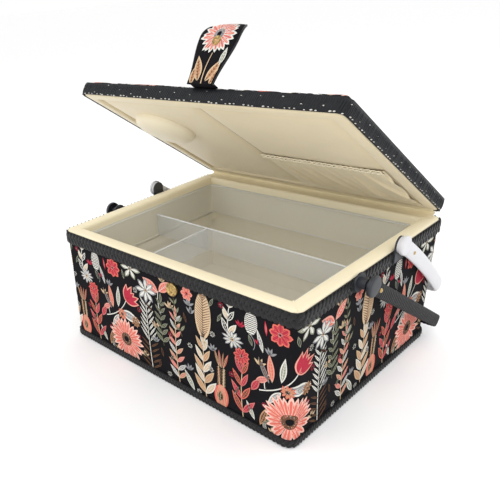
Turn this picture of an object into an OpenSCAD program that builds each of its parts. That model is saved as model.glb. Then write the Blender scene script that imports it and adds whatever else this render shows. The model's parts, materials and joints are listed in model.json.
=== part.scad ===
// Fabric covered sewing box: padded lid on a back hinge, curled closing strap, clear lift-out tray
// and two U-shaped carrying handles folded down behind the box. Millimetres, +Z up, +Y to the back,
// origin at the bottom centre of the case. The lid is drawn at its opened rest angle.

/* [Case] */
// Overall width of the case, left to right
case_w = 300; // [240:1:380]
// Overall depth of the case, front to back
case_d = 250; // [200:1:320]
// Height of the case from the table to the top of the rim
case_h = 137.5; // [110:0.5:180]
// Radius of the upright corners
corner_r = 8; // [5:0.5:14]
// Thickness of the printed fabric
cloth_t = 1.2; // [0.8:0.1:2]
// Thickness of the stiff wall boards
board_t = 6; // [3:0.5:8]
// Width of the flat top of the padded wall
rim_w = 15; // [12:0.5:18]
// Height of the fabric strip over the top of the wall
rim_h = 6; // [3:0.5:9]
// Height of the braided strip round the top of the case
trim_top_h = 14.5; // [10:0.5:20]
// Height of the braided strip round the foot of the case
trim_foot_h = 9; // [6:0.5:14]
// Thickness of both braided strips
trim_t = 2.5; // [1.5:0.1:4]

/* [Lid] */
// Angle the lid stands open at rest
lid_open = 33.3; // [0:0.1:90]
// Height of the woven band round the lid
band_h = 13; // [10:0.5:18]
// Thickness of the woven band
band_t = 2.5; // [1.5:0.1:4]
// Rise of the padded crown above the band
crown_h = 7; // [3:0.5:14]
// Width of the plain strip round the underside of the lid
border_w = 11; // [8:0.5:16]
// Diameter of the pincushion under the lid
cushion_d = 68; // [50:1:80]
// Height of the pincushion under the lid
cushion_h = 18; // [10:0.5:22]
// Space between the pincushion and the edge of its satin panel
cushion_edge = 11.6; // [6:0.2:20]
// Depth of the gathered pocket, front to back
pocket_d = 100; // [70:1:110]
// Bulge of the gathered pocket
pocket_t = 5.5; // [3:0.1:6]

/* [Strap] */
// Sideways place of the strap and of the stud it closes on
strap_x = 16; // [-20:1:20]
// Width of the strap where it leaves the lid
strap_w = 28; // [24:1:32]
// Width of the strap's wide end
paddle_w = 42; // [34:1:50]
// Thickness of the strap
strap_t = 3; // [2:0.1:4]
// Length of the straight part of the strap
strap_run = 42; // [42:0.5:50]
// Radius of the curled end of the strap
curl_r = 18; // [18:1:40]
// Angle turned by the curled end of the strap
curl_a = 86; // [60:1:90]
// Angle of the strap above the lid at rest
strap_rise = 94.7; // [80:0.1:110]

/* [Tray] */
// Height of the clear tray
tray_h = 38; // [30:1:45]
// Depth of the tray flange below the top of the rim
tray_drop = 8; // [6:0.5:12]
// Wall thickness of the tray
tray_t = 1.8; // [1.2:0.1:2.4]
// Width of the flange round the tray
flange_w = 3.5; // [2:0.1:5]
// Sideways place of the short divider
divider_x = -48; // [-50:1:60]

/* [Handles] */
// Depth of the woven handle's pivot below the top of the rim
woven_drop = 6.5; // [4:0.5:20]
// Front to back place of the woven handle's pivot
woven_y = -40; // [-60:1:-20]
// Height of the folded woven grip above the table
woven_rest = 18; // [17:1:30]
// Height of the smooth handle's pivot above the top of the rim
smooth_lift = 4.5; // [2:0.5:10]
// Front to back place of the smooth handle's pivot
smooth_y = 28; // [10:1:40]
// Height of the folded smooth grip above the table
smooth_rest = 57.5; // [45:0.5:70]
// Bow of the smooth handle's arms
smooth_bow = 3; // [1:0.5:8]

/* [Hidden] */
fa_round = 96;
gap = 0.3;
fit = 0.06;
half_w = case_w / 2;
half_d = case_d / 2;
lining_t = rim_w - cloth_t - board_t;
wall_top = case_h - rim_h;
base_cloth_t = 1;
base_board_t = 4;
floor_pad_t = 5;
floor_z = base_cloth_t + base_board_t;
well_w = case_w - 2 * rim_w;
well_d = case_d - 2 * rim_w;
trim_x = half_w + trim_t;
trim_y = half_d + trim_t;

lid_z = case_h + 0.5;
barrel_r = 2.5;
barrel_pin_r = 1.2;
axis_y = trim_y + barrel_r;
axis_z = lid_z;
hinge_x = [-case_w * 0.3, case_w * 0.3];
knuckle = 12;
knuckle_gap = 0.3;
leaf_t = 1;
leaf_drop = 20;
border_t = 4;
panel_sink = 1;
lid_board_t = 4;
seam = 0.6;
band_in_w = case_w - 2 * band_t;
band_in_d = case_d - 2 * band_t;
pad_w = band_in_w - 2 * cloth_t;
pad_d = band_in_d - 2 * cloth_t;
pad_z = border_t + lid_board_t;
crown_in = 26;
pad_r = corner_r - 3;
cover_r = corner_r - 2;
panel_in_w = pad_w - 2 * border_w + 2 * gap;
panel_in_d = pad_d - 2 * border_w + 2 * gap;
cushion_y = 45;
cushion_x = panel_in_w / 2 - cushion_d / 2 - cushion_edge;
cushion_wall = 2.5;
dome_r = (pow(cushion_d / 2, 2) + pow(cushion_h, 2)) / (2 * cushion_h);
pocket_x0 = 4;
pocket_w = panel_in_w / 2 - 2 * pocket_x0;
pocket_y1 = panel_in_d / 2 - 3;
elastic_w = 7;
elastic_t = 2;

strap_axis_y = -(trim_y + gap + strap_t / 2);
strap_axis_z = band_h + 1.8;
hem_r = strap_t / 2 + 0.2;
tip_r = 0.58 * paddle_w;
tip_turn = 45;
stud_u = 38;
root_t = 2.2;
stud_r = 4.4;
stud_h = 1;

tray_top = case_h - tray_drop;
tray_z = tray_top - tray_h;
tray_clear = 1.5;
flange_t = 2;
tray_w = well_w - 2 * (tray_clear + flange_w);
tray_d = well_d - 2 * (tray_clear + flange_w);
tray_r = 6;
divider_drop = 9;
divider_t = 1.6;
divider_y = 0;
ledge_w = 8;
ledge_h = 10;

button_z = lid_z + strap_axis_z - stud_u;
button_r = 7;
button_h = trim_t;
recess_r = stud_r + 0.5;
recess_h = 1.4;
shank_r = 2.4;
washer_r = 4.5;
washer_t = 1.5;
bore_gap = 0.1;
washer_gap = 0.5;

grip_gap = 0.6;
pivot_r = 3;
plate_t = 1.6;
arm_gap = 0.3;
cap_t = 2.2;
smooth_arm_w = 13;
smooth_arm_t = 3.5;
smooth_grip_r = 6.5;
smooth_cap_r = 9;
smooth_x = trim_x + plate_t + arm_gap;
smooth_z = case_h + smooth_lift;
smooth_run = half_d + grip_gap + smooth_grip_r - smooth_y;
smooth_reach = norm([smooth_run, smooth_z - smooth_rest]);
smooth_fold = atan((smooth_z - smooth_rest) / smooth_run);
bow_r = (pow(smooth_reach / 2, 2) + pow(smooth_bow, 2)) / (2 * smooth_bow);
woven_arm_w = 14;
woven_arm_t = 4.5;
woven_cap_r = 9.5;
woven_x = smooth_x + smooth_arm_t + cap_t + 2 * arm_gap;
woven_bend = 9;
woven_z = case_h - woven_drop;
woven_run = half_d + grip_gap - woven_y;
woven_lean = woven_arm_w / 2 * sin(atan((woven_z - woven_rest) / woven_run));
woven_reach = norm([woven_run + woven_lean, woven_z - woven_rest]);
woven_fold = atan((woven_z - woven_rest) / (woven_run + woven_lean));
grip_extra = 1;
rivet_r = 2.2;
rivet_h = 0.8;
smooth_rivet = 40;
woven_rivet = 30;
ear_r = 8;
ear_drop = 16;
boss_r = 5;

// ---------- shared shapes ----------
module rrect(w, d, r) {
    rr = max(r, 0.5);
    square([w - 2 * rr, d], center = true);
    square([w, d - 2 * rr], center = true);
    for (sx = [-1, 1], sy = [-1, 1])
        translate([sx * (w / 2 - rr), sy * (d / 2 - rr)])
            circle(r = rr, $fn = fa_round);
}

module slab(w, d, r, z0, z1) {
    translate([0, 0, z0])
        linear_extrude(height = z1 - z0)
            rrect(w, d, r);
}

module ring(w, d, r, t, z0, z1) {
    translate([0, 0, z0])
        linear_extrude(height = z1 - z0)
            difference() {
                rrect(w, d, r);
                rrect(w - 2 * t, d - 2 * t, r - t);
            }
}

module rod_x(r, x0, x1) {
    translate([x0, 0, 0])
        rotate([0, 90, 0])
            cylinder(r = r, h = x1 - x0, $fn = fa_round);
}

module box(x0, x1, y0, y1, z0, z1) {
    translate([x0, y0, z0])
        cube([x1 - x0, y1 - y0, z1 - z0]);
}

module both_sides() {
    children();
    mirror([1, 0, 0])
        children();
}

// Sets children drawn for the closed lid, underside at z = 0, at the lid's rest angle
module on_lid() {
    translate([0, axis_y, axis_z])
        rotate([-lid_open, 0, 0])
            translate([0, -axis_y, 0])
                children();
}

// Sets children drawn in the strap's own frame: +Y along the strap, +Z out of the face with the stud
module on_strap() {
    on_lid()
        translate([strap_x, strap_axis_y, strap_axis_z])
            rotate([180 - strap_rise, 0, 0])
                children();
}

module on_smooth() {
    translate([0, smooth_y, smooth_z])
        rotate([-smooth_fold, 0, 0])
            children();
}

module on_woven() {
    translate([0, woven_y, woven_z])
        rotate([-woven_fold, 0, 0])
            children();
}

// ---------- case ----------
module wall_block() {
    ring(case_w - 2 * cloth_t, case_d - 2 * cloth_t, corner_r - cloth_t, board_t, base_cloth_t, wall_top);
}

module stud_hole(r) {
    translate([strap_x, 0, button_z])
        rotate([90, 0, 0])
            cylinder(r = r, h = case_d, $fn = fa_round);
}

module base_cloth() {
    color([0.07, 0.07, 0.08])
        slab(case_w - 2 * cloth_t, case_d - 2 * cloth_t, corner_r - cloth_t, 0, base_cloth_t);
}

module base_board() {
    color([0.72, 0.64, 0.5])
        slab(case_w - 2 * (cloth_t + board_t), case_d - 2 * (cloth_t + board_t), 0.5, base_cloth_t, floor_z);
}

module board_front() {
    color([0.72, 0.64, 0.5])
        difference() {
            intersection() {
                wall_block();
                box(-half_w, half_w, -half_d, -half_d + cloth_t + board_t, 0, case_h);
            }
            stud_hole(shank_r + bore_gap);
        }
}

module board_back() {
    color([0.72, 0.64, 0.5])
        intersection() {
            wall_block();
            box(-half_w, half_w, half_d - cloth_t - board_t, half_d, 0, case_h);
        }
}

module side_board(side) {
    color([0.72, 0.64, 0.5])
        translate([side * (half_w - cloth_t - board_t / 2), 0, (base_cloth_t + wall_top) / 2])
            cube([board_t, case_d - 2 * (cloth_t + board_t), wall_top - base_cloth_t], center = true);
}

module board_left() {
    side_board(-1);
}

module board_right() {
    side_board(1);
}

module case_cover() {
    color([0.1, 0.09, 0.1])
        difference() {
            ring(case_w, case_d, corner_r, cloth_t, 0, wall_top);
            stud_hole(shank_r + bore_gap);
        }
}

module rim_strip() {
    color([0.96, 0.91, 0.76]) {
        ring(case_w, case_d, corner_r, rim_w, wall_top, case_h - 1);
        ring(case_w - 1.6, case_d - 1.6, corner_r - 0.8, rim_w - 1.6, case_h - 1, case_h);
    }
}

module top_braid() {
    color([0.06, 0.06, 0.07])
        ring(case_w + 2 * trim_t, case_d + 2 * trim_t, corner_r + trim_t, trim_t,
             wall_top - trim_top_h + rim_h - 1, case_h - 1);
}

module foot_braid() {
    color([0.06, 0.06, 0.07])
        ring(case_w + 2 * trim_t, case_d + 2 * trim_t, corner_r + trim_t, trim_t, gap, trim_foot_h);
}

module long_lining(side) {
    y_in = well_d / 2;
    color([0.95, 0.89, 0.73])
        difference() {
            translate([0, side * (y_in + lining_t / 2), (floor_z + wall_top) / 2])
                cube([well_w + 2 * lining_t, lining_t, wall_top - floor_z], center = true);
            if (side < 0)
                stud_hole(washer_r + washer_gap);
        }
}

module lining_front() {
    long_lining(-1);
}

module lining_back() {
    long_lining(1);
}

module short_lining(side) {
    color([0.95, 0.89, 0.73])
        translate([side * (well_w / 2 + lining_t / 2), 0, (floor_z + wall_top) / 2])
            cube([lining_t, well_d, wall_top - floor_z], center = true);
}

module lining_left() {
    short_lining(-1);
}

module lining_right() {
    short_lining(1);
}

module lining_floor() {
    color([0.95, 0.89, 0.73])
        box(-well_w / 2, well_w / 2, -well_d / 2, well_d / 2, floor_z, floor_z + floor_pad_t);
}

module ledge(side) {
    color([0.93, 0.87, 0.71])
        translate([side * (well_w / 2 - ledge_w / 2), 0, tray_z - ledge_h / 2])
            cube([ledge_w, well_d, ledge_h], center = true);
}

module ledge_left() {
    ledge(-1);
}

module ledge_right() {
    ledge(1);
}

module front_stud() {
    color([0.66, 0.52, 0.24])
        translate([strap_x, -half_d, button_z])
            rotate([90, 0, 0]) {
                difference() {
                    cylinder(r = button_r, h = button_h, $fn = fa_round);
                    translate([0, 0, button_h - recess_h])
                        cylinder(r = recess_r, h = 2 * recess_h, $fn = fa_round);
                }
                translate([0, 0, -cloth_t - board_t])
                    cylinder(r = shank_r, h = cloth_t + board_t + button_h - recess_h, $fn = fa_round);
                translate([0, 0, -cloth_t - board_t - washer_t])
                    cylinder(r = washer_r, h = washer_t, $fn = fa_round);
            }
}

module hinge_case_leaf() {
    color([0.72, 0.72, 0.74])
        for (hx = hinge_x)
            translate([hx, 0, 0])
                difference() {
                    union() {
                        for (s = [-1, 1])
                            translate([s * (knuckle + knuckle_gap), axis_y, axis_z])
                                rod_x(barrel_r, -knuckle / 2, knuckle / 2);
                        difference() {
                            box(-1.5 * knuckle - knuckle_gap, 1.5 * knuckle + knuckle_gap,
                                trim_y, trim_y + leaf_t, axis_z - leaf_drop, axis_z);
                            box(-knuckle / 2 - knuckle_gap, knuckle / 2 + knuckle_gap,
                                trim_y - 1, trim_y + leaf_t + 1, axis_z - barrel_r - 1, axis_z + 1);
                        }
                    }
                    translate([0, axis_y, axis_z])
                        rod_x(barrel_pin_r, -3 * knuckle, 3 * knuckle);
                }
}

module hinge_pin() {
    color([0.72, 0.72, 0.74])
        for (hx = hinge_x)
            translate([hx, axis_y, axis_z])
                rod_x(barrel_pin_r, -1.5 * knuckle - 1, 1.5 * knuckle + 1);
}

module smooth_plates() {
    color([0.12, 0.12, 0.13])
        both_sides() {
            translate([trim_x, 0, 0])
                rotate([90, 0, 90])
                    linear_extrude(height = plate_t) {
                        translate([smooth_y, smooth_z])
                            circle(r = ear_r, $fn = fa_round);
                        translate([smooth_y - ear_r, smooth_z - ear_drop])
                            square([2 * ear_r, ear_drop]);
                    }
            translate([0, smooth_y, smooth_z])
                rod_x(pivot_r, trim_x, smooth_x + smooth_arm_t - arm_gap);
        }
}

module woven_plates() {
    color([0.12, 0.12, 0.13])
        both_sides()
            translate([0, woven_y, woven_z]) {
                rod_x(ear_r + 1, trim_x, trim_x + plate_t);
                rod_x(boss_r, trim_x, woven_x - arm_gap);
                rod_x(pivot_r, trim_x, woven_x + woven_arm_t - arm_gap);
            }
}

// ---------- lid, drawn closed ----------
module lid_board() {
    color([0.72, 0.64, 0.5])
        on_lid()
            slab(pad_w, pad_d, pad_r, border_t, pad_z);
}

// A padded top: straight sides up to the band, then a slope up to the crown
module crown(w, d, r, h) {
    slab(w, d, r, pad_z, band_h - 1);
    hull() {
        slab(w - 2, d - 2, r, pad_z, band_h - 0.5);
        slab(w - 2 * crown_in, d - 2 * crown_in, r, pad_z, h);
    }
}

module lid_pad() {
    color([0.9, 0.9, 0.88])
        on_lid()
            crown(pad_w, pad_d, pad_r, band_h + crown_h);
}

module lid_cover() {
    color([0.1, 0.09, 0.1])
        on_lid()
            difference() {
                union() {
                    slab(band_in_w, band_in_d, cover_r, 0, band_h - 1);
                    crown(band_in_w, band_in_d, cover_r, band_h + crown_h + cloth_t);
                }
                slab(pad_w, pad_d, pad_r, -1, pad_z);
                crown(pad_w, pad_d, pad_r, band_h + crown_h);
            }
}

module lid_band() {
    color([0.07, 0.07, 0.08])
        on_lid()
            ring(case_w, case_d, corner_r, band_t, 0, band_h);
}

module lid_border() {
    color([0.88, 0.81, 0.65])
        on_lid()
            ring(pad_w, pad_d, pad_r, border_w - gap, 0, border_t);
}

module lid_panel(side) {
    color([0.84, 0.77, 0.58])
        on_lid()
            translate([side * (panel_in_w / 4 + seam / 4), 0, (border_t + panel_sink) / 2])
                cube([panel_in_w / 2 - seam / 2, panel_in_d, border_t - panel_sink], center = true);
}

module lid_panel_left() {
    lid_panel(-1);
}

module lid_panel_right() {
    lid_panel(1);
}

module lid_pincushion() {
    color([0.95, 0.89, 0.74])
        on_lid()
            translate([-cushion_x, -cushion_y, panel_sink])
                rotate([180, 0, 0]) {
                    cylinder(r = cushion_d / 2, h = cushion_wall, $fn = fa_round);
                    intersection() {
                        translate([0, 0, cushion_h - dome_r])
                            sphere(r = dome_r, $fn = fa_round);
                        cylinder(r = cushion_d / 2, h = cushion_h + 1, $fn = fa_round);
                    }
                }
}

module lid_pocket() {
    color([0.84, 0.77, 0.58])
        on_lid()
            translate([pocket_x0 + pocket_w / 2, pocket_y1 - pocket_d / 2, 0]) {
                slab(pocket_w, pocket_d - elastic_w, 4, panel_sink - pocket_t * 0.6, panel_sink);
                slab(pocket_w - 14, pocket_d - elastic_w - 14, 8, panel_sink - pocket_t, panel_sink);
            }
}

module pocket_elastic() {
    color([0.9, 0.84, 0.68])
        on_lid()
            translate([pocket_x0 + pocket_w / 2, pocket_y1 - pocket_d, panel_sink - elastic_t / 2])
                cube([pocket_w, elastic_w, elastic_t], center = true);
}

module hinge_lid_leaf() {
    color([0.72, 0.72, 0.74])
        on_lid()
            for (hx = hinge_x)
                translate([hx, 0, 0])
                    difference() {
                        union() {
                            translate([0, axis_y, 0])
                                rod_x(barrel_r, -knuckle / 2, knuckle / 2);
                            box(-knuckle / 2, knuckle / 2, half_d, axis_y, barrel_r - leaf_t, barrel_r);
                            box(-1.5 * knuckle, 1.5 * knuckle, half_d, half_d + leaf_t,
                                barrel_r - leaf_t, band_h - 1);
                        }
                        translate([0, axis_y, 0])
                            rod_x(barrel_pin_r + fit, -knuckle, knuckle);
                    }
}

// ---------- strap ----------
module strap_root() {
    color([0.1, 0.09, 0.1])
        on_lid()
            box(strap_x - strap_w / 2, strap_x + strap_w / 2,
                -half_d - 1, -half_d + band_t, band_h, band_h + root_t);
}

module strap_flap() {
    color([0.1, 0.09, 0.1])
        on_strap() {
            rod_x(hem_r, -strap_w / 2, strap_w / 2);
            translate([0, 0, -strap_t / 2])
                linear_extrude(height = strap_t)
                    polygon([
                        [-strap_w / 2, 0], [strap_w / 2, 0],
                        [paddle_w / 2, strap_run], [-paddle_w / 2, strap_run]
                    ]);
            translate([0, strap_run, -curl_r])
                intersection() {
                    curl_sheet();
                    curl_tip();
                }
        }
}

// The sheet of the curl, bent about the X axis
module curl_sheet() {
    translate([-paddle_w / 2, 0, 0])
        rotate([90, 0, 90])
            linear_extrude(height = paddle_w)
                intersection() {
                    difference() {
                        circle(r = curl_r + strap_t / 2, $fn = 2 * fa_round);
                        circle(r = curl_r - strap_t / 2, $fn = 2 * fa_round);
                    }
                    translate([0, -2 * curl_r])
                        square([2 * curl_r, 4 * curl_r]);
                }
}

// Everything short of the strap's rounded tip
module curl_tip() {
    tip_y = curl_r * sin(curl_a - tip_turn) - tip_r;
    side_y = tip_y + sqrt(pow(tip_r, 2) - pow(paddle_w / 2, 2));
    rotate([-tip_turn, 0, 0])
        linear_extrude(height = 2 * curl_r) {
            translate([0, tip_y])
                circle(r = tip_r, $fn = fa_round);
            translate([-paddle_w, side_y - 1 - 3 * curl_r])
                square([2 * paddle_w, 3 * curl_r]);
        }
}

module strap_stud() {
    color([0.66, 0.52, 0.24])
        on_strap()
            translate([0, stud_u, strap_t / 2])
                cylinder(r = stud_r, h = stud_h, $fn = fa_round);
}

// ---------- tray ----------
module tray_shell() {
    color([0.86, 0.9, 0.92, 0.35]) {
        ring(tray_w + 2 * flange_w, tray_d + 2 * flange_w, tray_r + flange_w, flange_w + tray_t / 2,
             tray_top - flange_t, tray_top);
        ring(tray_w, tray_d, tray_r, tray_t, tray_z, tray_top - flange_t / 2);
        slab(tray_w - tray_t, tray_d - tray_t, tray_r, tray_z, tray_z + tray_t);
    }
}

module divider_long() {
    color([0.86, 0.9, 0.92, 0.35])
        box(-tray_w / 2 + tray_t, tray_w / 2 - tray_t, divider_y - divider_t / 2, divider_y + divider_t / 2,
            tray_z + tray_t, tray_top - divider_drop);
}

module divider_short() {
    color([0.86, 0.9, 0.92, 0.35])
        box(divider_x - divider_t / 2, divider_x + divider_t / 2, -tray_d / 2 + tray_t, divider_y - divider_t / 2,
            tray_z + tray_t, tray_top - divider_drop);
}

// ---------- smooth handle ----------
// Flat outline of one bowed arm, from the pivot at the origin to the grip
module bowed_arm() {
    difference() {
        union() {
            intersection() {
                translate([smooth_reach / 2, smooth_bow - bow_r])
                    difference() {
                        circle(r = bow_r + smooth_arm_w / 2, $fn = 4 * fa_round);
                        circle(r = bow_r - smooth_arm_w / 2, $fn = 4 * fa_round);
                    }
                translate([0, -smooth_arm_w])
                    square([smooth_reach, 4 * smooth_arm_w]);
            }
            circle(r = ear_r, $fn = fa_round);
            translate([smooth_reach, 0])
                circle(r = smooth_grip_r, $fn = fa_round);
        }
        circle(r = pivot_r + fit, $fn = fa_round);
    }
}

module smooth_handle() {
    color([0.93, 0.93, 0.94])
        on_smooth() {
            both_sides()
                translate([smooth_x, 0, 0])
                    rotate([90, 0, 90])
                        linear_extrude(height = smooth_arm_t)
                            bowed_arm();
            translate([0, smooth_reach, 0])
                rod_x(smooth_grip_r, -smooth_x - 0.5, smooth_x + 0.5);
        }
}

module smooth_caps() {
    color([0.93, 0.93, 0.94])
        on_smooth()
            both_sides()
                rod_x(smooth_cap_r, smooth_x + smooth_arm_t, smooth_x + smooth_arm_t + cap_t);
}

module smooth_rivets() {
    color([0.66, 0.52, 0.24])
        on_smooth()
            both_sides()
                translate([0, smooth_rivet, smooth_bow * 0.8])
                    rod_x(rivet_r, smooth_x + smooth_arm_t, smooth_x + smooth_arm_t + rivet_h);
}

// ---------- woven handle ----------
module woven_handle() {
    out_w = 2 * (woven_x + woven_arm_t);
    color([0.09, 0.09, 0.1])
        on_woven()
            difference() {
                union() {
                    linear_extrude(height = woven_arm_w, center = true)
                        difference() {
                            u_shape(out_w, woven_reach + woven_arm_t + grip_extra, woven_bend + woven_arm_t);
                            translate([0, -0.01])
                                u_shape(2 * woven_x, woven_reach, woven_bend);
                        }
                    both_sides()
                        rod_x(woven_arm_w / 2, woven_x, woven_x + woven_arm_t);
                }
                rod_x(pivot_r + fit, -out_w, out_w);
            }
}

// A flat block from y = 0 up to y = reach with its two far corners rounded
module u_shape(w, reach, r) {
    translate([-w / 2, 0])
        square([w, reach - r]);
    translate([r - w / 2, 0])
        square([w - 2 * r, reach]);
    for (s = [-1, 1])
        translate([s * (w / 2 - r), reach - r])
            circle(r = r, $fn = fa_round);
}

module woven_caps() {
    color([0.2, 0.21, 0.23])
        on_woven()
            both_sides()
                rod_x(woven_cap_r, woven_x + woven_arm_t, woven_x + woven_arm_t + cap_t + 0.3);
}

module woven_rivets() {
    color([0.66, 0.52, 0.24])
        on_woven()
            both_sides()
                translate([0, woven_rivet, 0])
                    rod_x(rivet_r, woven_x + woven_arm_t, woven_x + woven_arm_t + rivet_h);
}

base_cloth();
base_board();
board_front();
board_back();
board_left();
board_right();
case_cover();
rim_strip();
top_braid();
foot_braid();
lining_front();
lining_back();
lining_left();
lining_right();
lining_floor();
ledge_left();
ledge_right();
front_stud();
hinge_case_leaf();
hinge_pin();
smooth_plates();
woven_plates();
lid_board();
lid_pad();
lid_cover();
lid_band();
lid_border();
lid_panel_left();
lid_panel_right();
lid_pincushion();
lid_pocket();
pocket_elastic();
hinge_lid_leaf();
strap_root();
strap_flap();
strap_stud();
tray_shell();
divider_long();
divider_short();
smooth_handle();
smooth_caps();
smooth_rivets();
woven_handle();
woven_caps();
woven_rivets();
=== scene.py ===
"""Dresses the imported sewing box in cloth, braid, satin and plastic, then sets the lights and camera."""

import json
import logging
import math
import random
from dataclasses import dataclass, field
from enum import Enum
from typing import Callable, Iterable, Sequence

import bpy
import numpy as np
from mathutils import Matrix, Vector


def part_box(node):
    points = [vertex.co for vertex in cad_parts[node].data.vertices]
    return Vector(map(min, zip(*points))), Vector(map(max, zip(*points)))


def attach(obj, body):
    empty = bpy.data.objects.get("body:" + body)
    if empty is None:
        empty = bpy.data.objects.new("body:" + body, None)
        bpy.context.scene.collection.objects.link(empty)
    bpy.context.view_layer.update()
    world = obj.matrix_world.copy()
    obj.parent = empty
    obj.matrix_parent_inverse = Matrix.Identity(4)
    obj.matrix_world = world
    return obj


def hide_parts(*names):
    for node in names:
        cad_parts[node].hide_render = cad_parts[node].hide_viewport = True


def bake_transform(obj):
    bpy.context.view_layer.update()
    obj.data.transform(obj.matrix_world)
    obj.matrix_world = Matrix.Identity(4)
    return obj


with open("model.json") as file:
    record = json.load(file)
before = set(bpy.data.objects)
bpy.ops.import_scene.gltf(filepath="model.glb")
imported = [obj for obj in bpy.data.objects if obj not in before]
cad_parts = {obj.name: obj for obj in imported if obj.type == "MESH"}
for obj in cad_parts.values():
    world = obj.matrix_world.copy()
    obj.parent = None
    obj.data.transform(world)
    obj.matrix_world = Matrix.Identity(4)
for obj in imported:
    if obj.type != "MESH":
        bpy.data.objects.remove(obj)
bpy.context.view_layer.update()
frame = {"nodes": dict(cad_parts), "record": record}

MM = 0.001
TAU = 2.0 * math.pi
TINY = 1e-9
AXIS_X, AXIS_Y, AXIS_Z = np.eye(3)
LOG = logging.getLogger("sewing_box")
Colour = tuple[float, float, float]
Array = np.ndarray


# ---------------------------------------------------------------- shader maths
class Expr:
    """Wraps one node socket so that arithmetic on it builds Math nodes."""

    def __init__(self, graph: "Graph", socket: bpy.types.NodeSocket) -> None:
        """Keeps the socket and the graph that it is in."""
        self.graph = graph
        self.socket = socket

    def _math(self, operation: str, *values: "Expr | float") -> "Expr":
        """Returns: the result of one Math node on the values."""
        links = {i: v for i, v in enumerate(values)}
        return self.graph.node("ShaderNodeMath", {"operation": operation}, links)

    def __add__(self, other: "Expr | float") -> "Expr":
        """Returns: this value plus another."""
        return self._math("ADD", self, other)

    def __radd__(self, other: float) -> "Expr":
        """Returns: a number plus this value."""
        return self._math("ADD", other, self)

    def __sub__(self, other: "Expr | float") -> "Expr":
        """Returns: this value less another."""
        return self._math("SUBTRACT", self, other)

    def __rsub__(self, other: float) -> "Expr":
        """Returns: a number less this value."""
        return self._math("SUBTRACT", other, self)

    def __mul__(self, other: "Expr | float") -> "Expr":
        """Returns: this value times another."""
        return self._math("MULTIPLY", self, other)

    def clamp(self) -> "Expr":
        """Returns: this value held between 0 and 1."""
        return self._math("MINIMUM", self._math("MAXIMUM", self, 0.0), 1.0)


class Graph:
    """A material's node tree, reached through one method for every node."""

    def __init__(self, name: str) -> None:
        """Makes an empty material of this name."""
        self.material = bpy.data.materials.new(name)
        self.material.use_nodes = True
        self.tree = self.material.node_tree
        self.shader = self.tree.nodes["Principled BSDF"]

    def node(
        self, kind: str, settings: dict | None = None, inputs: dict | None = None, output: int = 0,
    ) -> Expr:
        """Adds one node.

        Args:
            kind: the node's type name.
            settings: attributes to set on the node.
            inputs: values or expressions by socket name or index.
            output: the index of the output socket to return.

        Returns:
            The chosen output as an expression.
        """
        node = self.tree.nodes.new(kind)
        for key, value in (settings or {}).items():
            setattr(node, key, value)
        for key, value in (inputs or {}).items():
            self.feed(node.inputs[key], value)
        return Expr(self, node.outputs[output])

    def feed(self, socket: bpy.types.NodeSocket, value: object) -> None:
        """Links an expression to a socket, or sets a constant on it."""
        if isinstance(value, Expr):
            self.tree.links.new(value.socket, socket)
        else:
            socket.default_value = value

    def set(self, **values: object) -> None:
        """Feeds the shader's own sockets, with underscores for spaces."""
        for key, value in values.items():
            self.feed(self.shader.inputs[key.replace("_", " ")], value)

    def coords(self) -> Expr:
        """Returns: object coordinates, in metres."""
        return self.node("ShaderNodeTexCoord", output=3)

    def noise(self, scale: float, detail: float = 3.0, rough: float = 0.5) -> Expr:
        """Returns: noise from 0 to 1 at a scale in features per metre."""
        inputs = {"Vector": self.coords(), "Scale": scale, "Detail": detail, "Roughness": rough}
        return self.node("ShaderNodeTexNoise", inputs=inputs)

    def mix(self, factor: "Expr | float", low: Colour, high: Colour) -> Expr:
        """Returns: a colour between low and high."""
        inputs = {0: factor, 6: (*low, 1.0), 7: (*high, 1.0)}
        return self.node("ShaderNodeMix", {"data_type": "RGBA"}, inputs, output=2)

    def bump(self, height: Expr, distance: float, strength: float = 1.0) -> Expr:
        """Returns: a normal bent by a height field, distance in metres."""
        inputs = {"Strength": strength, "Distance": distance, "Height": height}
        return self.node("ShaderNodeBump", inputs=inputs)


def darker(colour: Colour, share: float) -> Colour:
    """Returns: the colour scaled by share."""
    return (colour[0] * share, colour[1] * share, colour[2] * share)


# ---------------------------------------------------------------- finishes
class Finish:
    """A named surface finish that builds its material once."""

    _made: dict[str, bpy.types.Material] = {}

    def build(self) -> Graph:
        """Returns: the finish's filled node graph."""
        raise NotImplementedError

    def material(self) -> bpy.types.Material:
        """Returns: the material, built the first time it is asked for."""
        key = repr(self)
        if key not in Finish._made:
            Finish._made[key] = self.build().material
        return Finish._made[key]


@dataclass(frozen=True)
class Cloth(Finish):
    """A matte woven cloth with a little colour drift and a thread bump."""

    name: str
    colour: Colour
    roughness: float = 0.88
    drift: float = 0.12
    thread: float = 900.0
    depth: float = 0.00006
    sheen: float = 0.0
    gloss: float = 0.12

    def build(self) -> Graph:
        """Returns: the finish's filled node graph."""
        graph = Graph(self.name)
        blotch = graph.noise(38.0, 4.0)
        low, high = darker(self.colour, 1.0 - self.drift), darker(self.colour, 1.0 + self.drift)
        colour = graph.mix(blotch, low, high)
        weave = graph.noise(self.thread, 2.0, 0.7)
        graph.set(Base_Color=colour, Roughness=self.roughness, Sheen_Weight=self.sheen, Sheen_Roughness=0.5)
        graph.set(Normal=graph.bump(weave, self.depth), Specular_IOR_Level=self.gloss)
        return graph


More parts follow.
